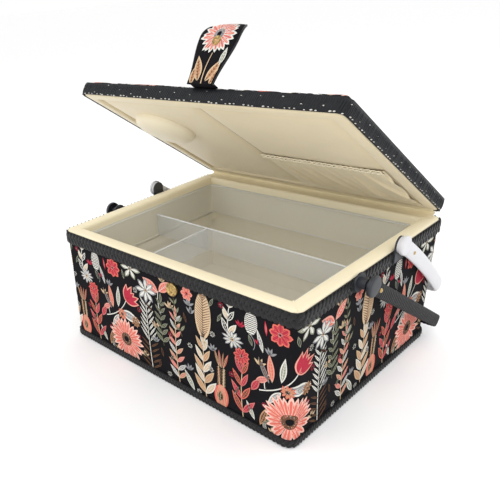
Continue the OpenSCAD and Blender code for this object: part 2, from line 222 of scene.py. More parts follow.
@dataclass(frozen=True)
class Satin(Finish):
    """A soft lustrous cloth whose highlight drifts in streaks."""

    name: str
    colour: Colour
    roughness: float = 0.46

    def build(self) -> Graph:
        """Returns: the finish's filled node graph."""
        graph = Graph(self.name)
        blotch = graph.noise(22.0, 3.0)
        colour = graph.mix(blotch, darker(self.colour, 0.94), darker(self.colour, 1.05))
        ripple = graph.noise(60.0, 2.0)
        fine = graph.noise(1400.0, 1.0)
        graph.set(Base_Color=colour, Roughness=self.roughness + (blotch - 0.5) * 0.16)
        graph.set(Sheen_Weight=0.3, Sheen_Roughness=0.35, Specular_IOR_Level=0.35)
        graph.set(Normal=graph.bump(ripple + fine * 0.06, 0.0006))
        return graph


@dataclass(frozen=True)
class Cord(Finish):
    """Dark twisted cord with fine fibres and a faint shine."""

    name: str
    colour: Colour
    roughness: float = 0.45
    fibre: float = 700.0
    gloss: float = 0.22

    def build(self) -> Graph:
        """Returns: the finish's filled node graph."""
        graph = Graph(self.name)
        tone = graph.noise(260.0, 3.0)
        colour = graph.mix(tone, darker(self.colour, 0.55), darker(self.colour, 1.7))
        graph.set(Base_Color=colour, Roughness=self.roughness, Specular_IOR_Level=self.gloss)
        graph.set(Normal=graph.bump(graph.noise(self.fibre, 2.0, 0.6), 0.00035))
        return graph


@dataclass(frozen=True)
class Plastic(Finish):
    """Moulded plastic, smooth or matte."""

    name: str
    colour: Colour
    roughness: float = 0.3
    grain: float = 0.00002

    def build(self) -> Graph:
        """Returns: the finish's filled node graph."""
        graph = Graph(self.name)
        wear = graph.noise(55.0, 3.0)
        graph.set(Base_Color=graph.mix(wear, darker(self.colour, 0.96), darker(self.colour, 1.03)))
        graph.set(Roughness=self.roughness + (wear - 0.5) * 0.12)
        graph.set(Normal=graph.bump(graph.noise(900.0), self.grain))
        return graph


@dataclass(frozen=True)
class ClearPlastic(Finish):
    """Thin clear moulded plastic."""

    name: str
    colour: Colour
    opacity: float = 0.22

    def build(self) -> Graph:
        """Returns: the finish's filled node graph."""
        graph = Graph(self.name)
        graph.set(Base_Color=(*self.colour, 1.0), Roughness=0.08, Alpha=self.opacity)
        graph.set(Specular_IOR_Level=0.7, Coat_Weight=0.4, Coat_Roughness=0.05)
        return graph


@dataclass(frozen=True)
class Metal(Finish):
    """Worn metal with a darker patina in patches."""

    name: str
    colour: Colour
    patina: Colour
    roughness: float = 0.32

    def build(self) -> Graph:
        """Returns: the finish's filled node graph."""
        graph = Graph(self.name)
        age = ((graph.noise(420.0, 4.0) - 0.30) * 4.0).clamp()
        graph.set(Base_Color=graph.mix(age, self.patina, self.colour), Metallic=1.0)
        graph.set(Roughness=self.roughness + (1.0 - age) * 0.2)
        graph.set(Normal=graph.bump(graph.noise(1500.0), 0.00003))
        return graph


class Look(Enum):
    """The finishes used on the box."""

    GROUND = Cloth("cloth_ground", (0.0062, 0.0058, 0.0075), 0.9)
    PLAIN = Cloth("cloth_plain", (0.009, 0.009, 0.010), 0.9)
    CREAM = Cloth("cloth_cream", (0.86, 0.775, 0.56), 0.85, 0.04, 1100.0, 0.00005, 0.1, 0.3)
    SATIN = Satin("satin_beige", (0.74, 0.64, 0.44))
    ELASTIC = Satin("satin_edge", (0.80, 0.72, 0.54), 0.5)
    BRAID = Cord("braid_black", (0.006, 0.006, 0.007), 0.4, 420.0, 0.3)
    BAND = Cord("band_black", (0.010, 0.011, 0.013), 0.5, 500.0)
    WRAP = Cord("wrap_black", (0.007, 0.007, 0.008), 0.5, 800.0, 0.25)
    # pale thread for the edge stitches, also used for the painted highlights on the band
    FLECK = Cloth("thread_white_and_highlight", (0.62, 0.60, 0.55), 0.8)
    CLEAR = ClearPlastic("plastic_clear", (0.80, 0.83, 0.84))
    CLEAR_EDGE = ClearPlastic("plastic_clear_edge", (0.88, 0.90, 0.90), 0.62)
    WHITE = Plastic("plastic_white", (0.66, 0.66, 0.68), 0.3)
    CHARCOAL = Plastic("plastic_charcoal", (0.022, 0.025, 0.032), 0.5, 0.00004)
    BRASS = Metal("brass_antique", (0.56, 0.39, 0.15), (0.16, 0.10, 0.04))
    STEEL = Metal("steel_plated", (0.62, 0.62, 0.64), (0.4, 0.4, 0.42), 0.3)
    BOARD = Cloth("board_grey", (0.42, 0.34, 0.23), 0.95)


class Ink(Enum):
    """Printed colours, each with the cloth's own texture."""

    CORAL = (0.66, 0.155, 0.115)
    BLUSH = (0.72, 0.33, 0.26)
    PETAL = (0.80, 0.50, 0.42)
    CRIMSON = (0.42, 0.030, 0.055)
    ROSE = (0.58, 0.17, 0.16)
    WHITE = (0.70, 0.69, 0.63)
    BONE = (0.60, 0.44, 0.28)
    TAN = (0.50, 0.27, 0.15)
    SAGE = (0.27, 0.28, 0.21)
    OLIVE = (0.070, 0.068, 0.034)
    BROWN = (0.13, 0.065, 0.038)
    SMOKE = (0.26, 0.26, 0.27)
    GROUND = (0.0062, 0.0058, 0.0075)

    @property
    def finish(self) -> Cloth:
        """Returns: the cloth finish in this ink."""
        return Cloth("ink_" + self.name.lower(), self.value, 0.86, 0.14, 1000.0, 0.00003)


# ---------------------------------------------------------------- meshes
@dataclass
class Shell:
    """A growing mesh of vertices, faces and material numbers, in metres."""

    points: list[Array] = field(default_factory=list)
    faces: list[tuple[int, ...]] = field(default_factory=list)
    slots: list[int] = field(default_factory=list)
    count: int = 0

    def add(self, points: Array, faces: Iterable[Sequence[int]], slot: int = 0) -> None:
        """Adds points and faces.

        Args:
            points: an array whose last axis has three numbers.
            faces: corner numbers, counted from 0 within these points.
            slot: the material number.
        """
        base = self.count
        self.points.append(np.asarray(points, float).reshape(-1, 3))
        self.count += len(self.points[-1])
        for face in faces:
            self.faces.append(tuple(base + i for i in face))
            self.slots.append(slot)

    def grid(self, points: Array, closed_u: bool = False, closed_v: bool = False, slot: int = 0) -> None:
        """Adds a sheet of quads over an array of points.

        Args:
            points: an array of shape (rows, columns, 3).
            closed_u: joins the last column to the first.
            closed_v: joins the last row to the first.
            slot: the material number.
        """
        rows, cols = points.shape[:2]
        faces = []
        for r in range(rows if closed_v else rows - 1):
            r2 = (r + 1) % rows
            for c in range(cols if closed_u else cols - 1):
                c2 = (c + 1) % cols
                faces.append((r * cols + c, r * cols + c2, r2 * cols + c2, r2 * cols + c))
        self.add(points.reshape(-1, 3), faces, slot)

    def fan(self, ring: Array, flip: bool = False, slot: int = 0) -> None:
        """Closes a ring of points with one face."""
        order = list(range(len(ring)))
        self.add(ring, [order[::-1] if flip else order], slot)

    def move(self, place: Callable[[Array], Array]) -> None:
        """Puts every point where place says."""
        self.points = [place(block) for block in self.points]

    def build(self, name: str, finishes: Sequence[Finish], smooth: bool = True) -> bpy.types.Object:
        """Makes the object.

        Args:
            name: the object's name.
            finishes: one finish for each material number.
            smooth: shades the faces smooth.

        Returns:
            The new mesh object, in the row frame.
        """
        mesh = bpy.data.meshes.new(name)
        mesh.from_pydata(np.concatenate(self.points).tolist(), [], self.faces)
        for finish in finishes:
            mesh.materials.append(finish.material())
        mesh.polygons.foreach_set("material_index", self.slots)
        mesh.polygons.foreach_set("use_smooth", [smooth] * len(mesh.polygons))
        mesh.validate()
        obj = bpy.data.objects.new(name, mesh)
        bpy.context.scene.collection.objects.link(obj)
        return obj


def sweep(shell: Shell, path: Array, frames: Array, section: Array, closed: bool, slot: int = 0) -> None:
    """Sweeps a closed section along a path.

    Args:
        shell: receives the faces.
        path: points of shape (n, 3).
        frames: for each point its two section axes, shape (n, 2, 3).
        section: points of shape (m, 2), or (n, m, 2) when it changes on the way.
        closed: joins the end to the start; an open sweep gets end faces.
        slot: the material number.
    """
    section = np.broadcast_to(section, (len(path), *section.shape[-2:]))
    rows = path[:, None, :] + np.einsum("nmk,nkd->nmd", section, frames)
    shell.grid(rows, closed_u=True, closed_v=closed, slot=slot)
    if not closed:
        shell.fan(rows[0], flip=True, slot=slot)
        shell.fan(rows[-1], slot=slot)


def raised(flat: Array, height: "Array | float") -> Array:
    """Returns: flat points of shape (n, 2) with their height as a third column."""
    column = np.broadcast_to(np.asarray(height, float), (len(flat),))
    return np.concatenate([flat, column[:, None]], -1)


def heading_of(path: Array) -> Array:
    """Returns: the unit direction of a path at each of its points."""
    ahead = np.gradient(path, axis=0)
    return ahead / np.maximum(np.linalg.norm(ahead, axis=1)[:, None], TINY)


def tiled(axis: Array, count: int) -> Array:
    """Returns: one axis repeated for every point of a path."""
    return np.broadcast_to(axis, (count, 3))


def eased(knots: Array, steps: Array, passes: int) -> Array:
    """Rounds a line of straight runs.

    Args:
        knots: the corners of the line, shape (n, 3).
        steps: where to sample it, counted in knots.
        passes: how often the inner points are averaged with their neighbours.

    Returns:
        The sampled line, with its two ends in place.
    """
    line = np.stack([np.interp(steps, np.arange(len(knots)), knots[:, k]) for k in range(3)], -1)
    for _ in range(passes):
        line[1:-1] = (line[:-2] + 2 * line[1:-1] + line[2:]) / 4
    return line


def vertices(node: str) -> Array:
    """Returns: the corners of a CAD node's mesh, shape (n, 3)."""
    return np.array([v.co for v in frame["nodes"][node].data.vertices])


def circle(radius: float, count: int) -> Array:
    """Returns: points of a circle, shape (count, 2)."""
    a = np.linspace(0.0, TAU, count, endpoint=False)
    return np.stack([np.cos(a), np.sin(a)], -1) * radius


def pill(width: float, thick: float, count: int = 24, power: float = 3.2) -> Array:
    """Draws a rounded flat section.

    Args:
        width: its size along the first axis.
        thick: its size along the second axis.
        count: how many points it has.
        power: how square its narrow ends are; 2 is round.

    Returns:
        Points of shape (count, 2).
    """
    a = np.linspace(0.0, TAU, count, endpoint=False)
    c, s = np.cos(a), np.sin(a)
    x = np.sign(c) * np.abs(c) ** (2.0 / power) * width / 2.0
    y = np.sign(s) * np.abs(s) ** (2.0 / 2.2) * thick / 2.0
    return np.stack([x, y], -1)


def lathe(
    shell: Shell, origin: Array, axis: Array, profile: Sequence[tuple[float, float]], slot: int = 0,
) -> None:
    """Turns a profile round an axis.

    Args:
        shell: receives the faces.
        origin: a point on the axis.
        axis: the direction of height.
        profile: pairs of radius and height, in metres, from one end to the other.
        slot: the material number.
    """
    axis = np.asarray(axis, float) / np.linalg.norm(axis)
    side = np.cross(axis, (0.0, 0.0, 1.0) if abs(axis[2]) < 0.9 else (1.0, 0.0, 0.0))
    side /= np.linalg.norm(side)
    third = np.cross(axis, side)
    a = np.linspace(0.0, TAU, 40, endpoint=False)
    ring = np.cos(a)[:, None] * side + np.sin(a)[:, None] * third
    rows = [np.asarray(origin) + axis * h + ring * max(r, 1e-5) for r, h in profile]
    shell.grid(np.stack(rows), closed_u=True, slot=slot)


WAVE_TURN = 6.28


def value_noise(seed: int, scale: float) -> Callable[[Array, Array], Array]:
    """Makes a smooth seeded ripple.

    Args:
        seed: picks the ripple.
        scale: how many waves there are in a unit of the coordinates.

    Returns:
        A function of two coordinates, about -1 to 1.
    """
    rng = random.Random(seed)
    spans = ((-1, 1), (-1, 1), (0, WAVE_TURN), (0.4, 1))
    waves = [tuple(rng.uniform(*span) for span in spans) for _ in range(9)]

    def sample(x: Array, y: Array) -> Array:
        """Returns: the noise at the given places."""
        total = sum(w * np.sin((kx * x + ky * y) * scale * WAVE_TURN + p) for kx, ky, p, w in waves)
        return total / 4.0

    return sample


# ---------------------------------------------------------------- the frame's own measures
@dataclass(frozen=True)
class RoundedRect:
    """A rounded rectangle seen from above, walked from the middle of the back and leftwards to the front."""

    half_w: float
    half_d: float
    radius: float

    @property
    def runs(self) -> list[float]:
        """Returns: the lengths of the nine straight and curved runs."""
        w, d = 2 * (self.half_w - self.radius), 2 * (self.half_d - self.radius)
        arc = self.radius * math.pi / 2
        return [w / 2, arc, d, arc, w, arc, d, arc, w / 2]

    @property
    def length(self) -> float:
        """Returns: the whole way round."""
        return sum(self.runs)

    def at(self, u: Array) -> tuple[Array, Array]:
        """Returns: points and outward normals, each of shape (n, 2), at distances u."""
        u = np.mod(np.asarray(u, float), self.length)
        edges = np.cumsum([0.0, *self.runs])
        run = np.clip(np.searchsorted(edges, u, side="right") - 1, 0, 8)
        t = u - edges[run]
        w, d, r = self.half_w - self.radius, self.half_d - self.radius, self.radius
        starts = np.array([(0, d), (-w, d), (-w, d), (-w, -d), (-w, -d), (w, -d), (w, -d), (w, d), (w, d)])
        turn = np.array([90.0, 90.0, 180.0, 180.0, 270.0, 270.0, 360.0, 360.0, 450.0])
        along = np.array([(-1, 0), (0, 0), (0, -1), (0, 0), (1, 0), (0, 0), (0, 1), (0, 0), (-1, 0)], float)
        curved = (run % 2).astype(bool)
        angle = np.radians(turn[run] + np.where(curved, np.degrees(t / max(r, TINY)), 0.0))
        normal = np.stack([np.cos(angle), np.sin(angle)], -1)
        core = starts[run] + along[run] * t[:, None]
        return core + normal * r, normal

    def ring(self, inset: float, corner: int = 7, side: int = 24) -> Array:
        """Walks round the rectangle, with the same number of points for every inset.

        Args:
            inset: how far the ring is moved inwards.
            corner: how many points a corner has.
            side: how many steps a side has.

        Returns:
            Points of shape (n, 2).
        """
        w, d = self.half_w - inset, self.half_d - inset
        r = max(self.radius - inset, 0.0008)

        def on_arc(place: tuple[int, int], degrees: float) -> tuple[float, float]:
            """Returns: a point on the arc at one corner, at an angle in degrees."""
            a = math.radians(degrees)
            return place[0] * (w - r) + r * math.cos(a), place[1] * (d - r) + r * math.sin(a)

        points = []
        turns = (((-1, 1), 90, (-1, -1), 180), ((-1, -1), 180, (1, -1), 270))
        turns += (((1, -1), 270, (1, 1), 360), ((1, 1), 0, (-1, 1), 90))
        for here, start, there, after in turns:
            points += [on_arc(here, start + 90.0 * k / (corner - 1)) for k in range(corner)]
            end, goal = points[-1], on_arc(there, after)
            for k in range(1, side):
                t = k / side
                points.append((end[0] + (goal[0] - end[0]) * t, end[1] + (goal[1] - end[1]) * t))
        return np.array(points)


CORNER_R = 8.0 * MM
BAND_THICK = 2.5 * MM
BRAID_WAVES = (0.017, 0.013)
PRINT_LAP = 0.003
STITCH_PITCH = 0.0021
FLECK_PITCH = 0.0046
LEAST_HALF = 0.0006
WEAVE_PITCH = 0.0042


@dataclass(frozen=True)
class Measures:
    """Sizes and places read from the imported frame, in metres."""

    half_w: float
    half_d: float
    wall_top: float
    top: float
    braid_low: float
    foot_top: float
    trim: float
    corner: float
    well_half_w: float
    well_half_d: float
    floor: float
    hinge_y: float
    hinge_z: float
    lid_open: float
    joints: dict[str, dict]

    @classmethod
    def read(cls) -> "Measures":
        """Returns: the measures of the loaded frame."""
        joints = {j["name"]: j for j in frame["record"]["behaviour"]["joints"]}
        cover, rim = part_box("case_cover"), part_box("rim_strip")
        hinge = joints["lid_hinge"]
        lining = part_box("lining_left")
        return cls(
            half_w=cover[1].x,
            half_d=cover[1].y,
            wall_top=rim[0].z,
            top=rim[1].z,
            braid_low=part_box("top_braid")[0].z,
            foot_top=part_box("foot_braid")[1].z,
            trim=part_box("foot_braid")[1].x - cover[1].x,
            corner=CORNER_R,
            well_half_w=-lining[1].x,
            well_half_d=lining[1].y,
            floor=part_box("lining_floor")[1].z,
            hinge_y=hinge["pos_m"][1],
            hinge_z=hinge["pos_m"][2],
            lid_open=math.radians(-hinge["range_deg"][0]),
            joints=joints,
        )

    def lid(self, points: Array) -> Array:
        """Returns: points drawn for the closed lid, underside at z = 0, at the lid's rest angle."""
        points = np.asarray(points, float)
        y, z = points[..., 1] - self.hinge_y, points[..., 2]
        c, s = math.cos(self.lid_open), math.sin(self.lid_open)
        return np.stack([points[..., 0], self.hinge_y + y * c + z * s, self.hinge_z - y * s + z * c], -1)

    def closed(self, node: str) -> Array:
        """Returns: a CAD node's vertices as they are on the closed lid, underside at z = 0."""
        points = vertices(node)
        y, z = points[:, 1] - self.hinge_y, points[:, 2] - self.hinge_z
        c, s = math.cos(self.lid_open), math.sin(self.lid_open)
        return np.stack([points[:, 0], self.hinge_y + y * c - z * s, y * s + z * c], -1)

    def pivot(self, joint: str) -> Array:
        """Returns: a joint's place."""
        return np.array(self.joints[joint]["pos_m"], float)


# ---------------------------------------------------------------- the printed garden
def turned(points: Array, angle: float, at: complex = 0j) -> Array:
    """Returns: complex points turned by an angle in degrees and moved to a place."""
    return points * np.exp(1j * math.radians(angle)) + at


def leaf_outline(length: float, width: float, belly: float = 0.45, blunt: float = 1.0) -> Array:
    """Outlines a leaf that starts at 0 and points along +x.

    Args:
        length: its length.
        width: its width.
        belly: where it is widest, as a share of its length.
        blunt: how pointed it is; below 1 is blunter.

    Returns:
        Complex points round the leaf.
    """
    count = max(6, int(length / 1.6))
    t = np.linspace(0.0, 1.0, count)
    half = width / 2 * np.sin(math.pi * t ** (math.log(0.5) / math.log(belly))) ** blunt
    return np.concatenate([t * length + 1j * half, (t * length - 1j * half)[-2:0:-1]])


def oval(width: float, height: float, count: int = 22) -> Array:
    """Returns: the outline of an oval, as complex numbers."""
    a = np.linspace(0.0, TAU, count, endpoint=False)
    return np.cos(a) * width / 2 + 1j * np.sin(a) * height / 2


INKS = list(Ink)


@dataclass
class Canvas:
    """Flat printed shapes in millimetres: x to the right, y up and the third number a layer."""

    seed: int = 4
    shell: Shell = field(default_factory=Shell)

    def __post_init__(self) -> None:
        """Starts the canvas's own random draws."""
        self.rng = random.Random(self.seed)

    def blob(self, outline: Array, ink: Ink, layer: float) -> None:
        """Fills a star-shaped outline.

        Args:
            outline: complex points round it.
            ink: its colour.
            layer: its layer.
        """
        centre = outline.mean()
        rings = np.stack([centre + (outline - centre) * s for s in (0.02, 0.5, 1.0)])
        points = np.stack([rings.real, rings.imag, np.full(rings.shape, layer)], -1)
        self.shell.grid(points, closed_u=True, slot=INKS.index(ink))

    def line(self, path: Array, wide: float, narrow: float, ink: Ink, layer: float) -> None:
        """Draws a tapering line.

        Args:
            path: the complex points it follows.
            wide: its width at the start.
            narrow: its width at the end.
            ink: its colour.
            layer: its layer.
        """
        steps = np.abs(np.diff(path))
        along = np.concatenate([[0.0], np.cumsum(steps)])
        count = max(3, int(along[-1] / 1.6))
        t = np.linspace(0.0, along[-1], count)
        dense = np.interp(t, along, path.real) + 1j * np.interp(t, along, path.imag)
        side = np.gradient(dense)
        side = 1j * side / np.maximum(np.abs(side), TINY)
        half = np.linspace(wide, narrow, count) / 2
        rows = np.stack([dense - side * half, dense + side * half])
        points = np.stack([rows.real, rows.imag, np.full(rows.shape, layer)], -1)
        self.shell.grid(points, slot=INKS.index(ink))

    def curve(
        self, start: complex, end: complex, bow: float, wide: float, ink: Ink, layer: float = 1.0,
    ) -> Array:
        """Draws a bowed stem.

        Args:
            start: its root.
            end: its tip.
            bow: how far its middle leans to the left.
            wide: its width at the root.
            ink: its colour.
            layer: its layer.

        Returns:
            The points along it.
        """
        t = np.linspace(0.0, 1.0, 14)
        normal = 1j * (end - start) / max(abs(end - start), TINY)
        path = start + (end - start) * t + normal * bow * 4 * t * (1 - t)
        self.line(path, wide, wide * 0.7, ink, layer)
        return path

    def leaf(
        self, at: complex, angle: float, length: float, width: float, edge: Ink, fill: Ink,
        vein: Ink | None = None, layer: float = 2.0,
    ) -> None:
        """Draws an outlined leaf with a midrib and a few side veins.

        Args:
            at: its root.
            angle: its direction, in degrees.
            length: its length.
            width: its width.
            edge: the colour of its outline.
            fill: the colour inside.
            vein: the colour of the veins, or the outline's.
            layer: its lowest layer.
        """
        outer = leaf_outline(length, width)
        inner = leaf_outline(length * 0.84, width * 0.66) + length * 0.06
        self.blob(turned(outer, angle, at), edge, layer)
        self.blob(turned(inner, angle, at), fill, layer + 1)
        vein = vein or edge
        self.line(turned(np.array([0.0, length * 0.86]), angle, at), 0.55, 0.3, vein, layer + 2)
        if width > 4.0:
            for k in range(1, int(length / 3.2)):
                root = k * length / (length / 3.2 + 0.5) + 0j
                reach = width * 0.26 * math.sin(math.pi * root.real / length)
                for side in (-1, 1):
                    tip = root + reach * (0.9 + side * 1.0j)
                    self.line(turned(np.array([root, tip]), angle, at), 0.42, 0.25, vein, layer + 2)

    def flower(
        self, at: complex, radius: float, petals: int, wide: float, fill: Ink, streak: Ink,
        heart: Ink, heart_r: float, layer: float = 5.0, blunt: float = 0.75, squash: float = 1.0,
    ) -> None:
        """Draws a round flower with streaked petals and a stippled heart.

        Args:
            at: its middle.
            radius: its reach.
            petals: how many petals it has.
            wide: the width of a petal.
            fill: the colour inside a petal.
            streak: the colour of outlines and streaks.
            heart: the colour of the heart.
            heart_r: the radius of the heart.
            layer: its lowest layer.
            blunt: how pointed a petal is; below 1 is blunter.
            squash: its height as a share of its width.
        """
        for k in range(petals):
            angle = 360.0 * k / petals + self.rng.uniform(-4, 4)
            length = (radius - heart_r * 0.6) * self.rng.uniform(0.9, 1.05)
            for share, ink, rise in ((1.0, streak, 0.0), (0.74, fill, 0.5)):
                petal = leaf_outline(length * (0.35 + 0.65 * share), wide * share, 0.58, blunt)
                place = turned(petal + heart_r * 0.6, angle)
                self.blob(at + place.real + 1j * place.imag * squash, ink, layer + rise + 0.25 * (k % 2))
            for off in (-0.22, 0.22) if wide > 3.4 else (0.0,):
                ray = turned(np.array([heart_r, heart_r * 0.6 + length * 0.86]) + 1j * off * wide, angle)
                self.line(at + ray.real + 1j * ray.imag * squash, 0.45, 0.3, streak, layer + 1.4)
        if heart_r > 0:
            self.blob(at + oval(2 * heart_r, 2 * heart_r * squash), heart, layer + 2)
            self.blob(at + oval(0.9 * heart_r, 0.9 * heart_r * squash, 12), Ink.GROUND, layer + 4)
            for k in range(int(heart_r * 5)):
                angle, reach = self.rng.uniform(0, 360), heart_r * self.rng.uniform(0.55, 0.92)
                dot = at + turned(np.array([reach + 0j]), angle)[0]
                tone = self.rng.choice((Ink.GROUND, Ink.BONE, Ink.SMOKE))
                self.blob(dot + oval(0.8, 0.8, 6), tone, layer + 3)

    def sprig(
        self, base: complex, top: complex, pairs: int, length: float, width: float,
        looks: Sequence[tuple[Ink, Ink]], stem: Ink, lean: float = 48.0, bow: float = 2.0,
    ) -> None:
        """Draws a stem with paired leaves and one leaf at its tip.

        Args:
            base: the root.
            top: the tip of the stem.
            pairs: how many pairs of leaves.
            length: the longest leaf.
            width: the widest leaf.
            looks: outline and inner colours, taken in turn.
            stem: the stem's colour.
            lean: how far the lowest leaves lean from the stem, in degrees.
            bow: the stem's bow.
        """
        path = self.curve(base, top, bow, 1.1, stem)
        heading = math.degrees(math.atan2((top - base).imag, (top - base).real))
        for k in range(pairs):
            t = (k + 0.6) / pairs
            shares = np.linspace(0, 1, len(path))
            root = complex(np.interp(t, shares, path.real), np.interp(t, shares, path.imag))
            size = 1.0 - 0.35 * t
            for side in (-1, 1):
                edge, fill = looks[(k + (side > 0)) % len(looks)]
                angle = heading + side * (lean - 10 * t) + self.rng.uniform(-5, 5)
                self.leaf(root + side * 0.3j, angle, length * size, width * size, edge, fill)
        edge, fill = looks[0]
        self.leaf(top, heading, length * 0.8, width * 0.8, edge, fill)

    def fern(self, base: complex, top: complex, count: int, length: float, ink: Ink, dark: Ink) -> None:
        """Draws a stem with many narrow leaves, pale above and dark below.

        Args:
            base: the root.
            top: the tip.
            count: how many pairs of leaves.
            length: the longest leaf.
            ink: the upper colour.
            dark: the lower colour.
        """
        self.curve(base, top, 1.0, 1.2, ink)
        heading = math.degrees(math.atan2((top - base).imag, (top - base).real))
        for k in range(count):
            t = (k + 0.5) / count
            root = base + (top - base) * t
            tone = dark if t < 0.42 else ink
            reach = length * (1.0 - 0.45 * t) * (0.75 if t < 0.42 else 1.0)
            for side in (-1, 1):
                angle = heading + side * (38 if t > 0.42 else 55)
                self.blob(turned(leaf_outline(reach, 2.3), angle, root), tone, 2)
                self.line(turned(np.array([1.0, reach * 0.8]), angle, root), 0.5, 0.3, Ink.GROUND, 3)

    def bulb(self, base: complex, height: float) -> None:
        """Draws a striped seed bulb with a bristly neck and a crown of narrow petals.

        Args:
            base: its root.
            height: how tall it is.
        """
        body = base + 1j * height * 0.2
        self.blob(body + oval(17.0, height * 0.44, 26), Ink.CORAL, 2)
        for k in range(-3, 4):
            foot = body + k * 1.5 - 1j * height * 0.17
            head = body + k * 0.9 + 1j * height * 0.2
            self.line(np.array([foot, body + k * 2.0, head]), 0.7, 0.5, Ink.BONE, 3)
        neck = base + 1j * height * 0.4
        for side in (-1, 1):
            rail = np.array([neck + side * 2.4, neck + side * 3.2 + 1j * height * 0.34])
            self.line(rail, 1.2, 0.9, Ink.BONE, 2)
        pitch = 1.7
        for k in range(int(height * 0.34 / pitch)):
            rung = neck + 1j * k * pitch
            self.line(np.array([rung - 4.6 + 1.4j, rung - 0.6]), 0.6, 0.4, Ink.TAN, 3)
            self.line(np.array([rung + 4.6 + 1.4j, rung + 0.6]), 0.6, 0.4, Ink.BONE, 3)
        crown = neck + 1j * height * 0.34
        for k, ink in enumerate((Ink.TAN, Ink.ROSE, Ink.BROWN, Ink.CORAL)):
            self.leaf(crown + (k - 1.5) * 1.5, 108 - 12 * k, height * 0.3, 3.0, ink, Ink.BROWN, Ink.BONE)

    def cone(
        self, centre: complex, width: float, height: float, ink: Ink, line: Ink, pitch: float = 2.6,
    ) -> None:
        """Draws an oval cone filled with herring-bone strokes.

        Args:
            centre: its middle.
            width: its width.
            height: its height.
            ink: its colour.
            line: the colour of the strokes.
            pitch: the distance between strokes.
        """
        self.blob(centre + oval(width, height, 30), ink, 3)
        for k in range(int(height / pitch)):
            y = -height / 2 + (k + 0.5) * pitch
            half = width / 2 * math.sqrt(max(0.0, 1 - (2 * y / height) ** 2)) * 0.92
            for side in (-1, 1):
                rise = min(pitch * 1.9, 0.46 * height - y)
                shrink = math.sqrt(max(0.0, 1 - (2 * (y + rise) / height) ** 2)) * width / 2 * 0.92
                stroke = np.array([centre + 1j * y, centre + side * min(half, shrink) + 1j * (y + rise)])
                self.line(stroke, 0.9, 0.5, line, 4)
        self.line(np.array([centre - 0.46j * height, centre + 0.46j * height]), 0.7, 0.5, line, 5)

    def pinecone(self, centre: complex, width: float, height: float) -> None:
        """Draws a pale cone with zigzag bands and a hooked stem.

        Args:
            centre: its middle.
            width: its width.
            height: its height.
        """
        self.curve(centre - 0.5j * height, centre + 3 - 1j * (height * 0.5 + 14), 3, 0.8, Ink.SMOKE)
        self.blob(centre + oval(width, height, 26), Ink.WHITE, 3)
        pitch = 1.9
        for k in range(int(height / pitch)):
            y = -height / 2 + (k + 0.6) * pitch
            half = width / 2 * math.sqrt(max(0.0, 1 - (2 * y / height) ** 2)) * 0.95
            xs = np.linspace(-half, half, 7)
            zig = centre + xs + 1j * (y + 0.8 * (np.arange(7) % 2))
            self.line(zig, 0.75, 0.75, Ink.GROUND, 4)

    def tulip(self, at: complex, angle: float, size: float, fill: Ink, edge: Ink) -> None:
        """Draws a cupped flower with pointed petals.

        Args:
            at: its root.
            angle: its direction, in degrees.
            size: its length.
            fill: the colour inside a petal.
            edge: the colour of the outlines.
        """
        for spread, length in ((-38, 0.9), (38, 0.9), (-18, 1.0), (18, 1.0), (0, 0.85)):
            petal = turned(leaf_outline(size * length, size * 0.36), angle + spread, at)
            self.blob(petal, edge, 4 + abs(spread) * 0.01)
            inner = turned(leaf_outline(size * length * 0.84, size * 0.24) + size * 0.06, angle + spread, at)
            self.blob(inner, fill, 5 + abs(spread) * 0.01)

    def tuft(self, at: complex, size: float, ink: Ink) -> None:
        """Draws a small open twig.

        Args:
            at: its root.
            size: its length.
            ink: its colour.
        """
        for angle in (40, 75, 105, 140):
            self.blob(turned(leaf_outline(size, size * 0.3), angle + self.rng.uniform(-9, 9), at), ink, 2)


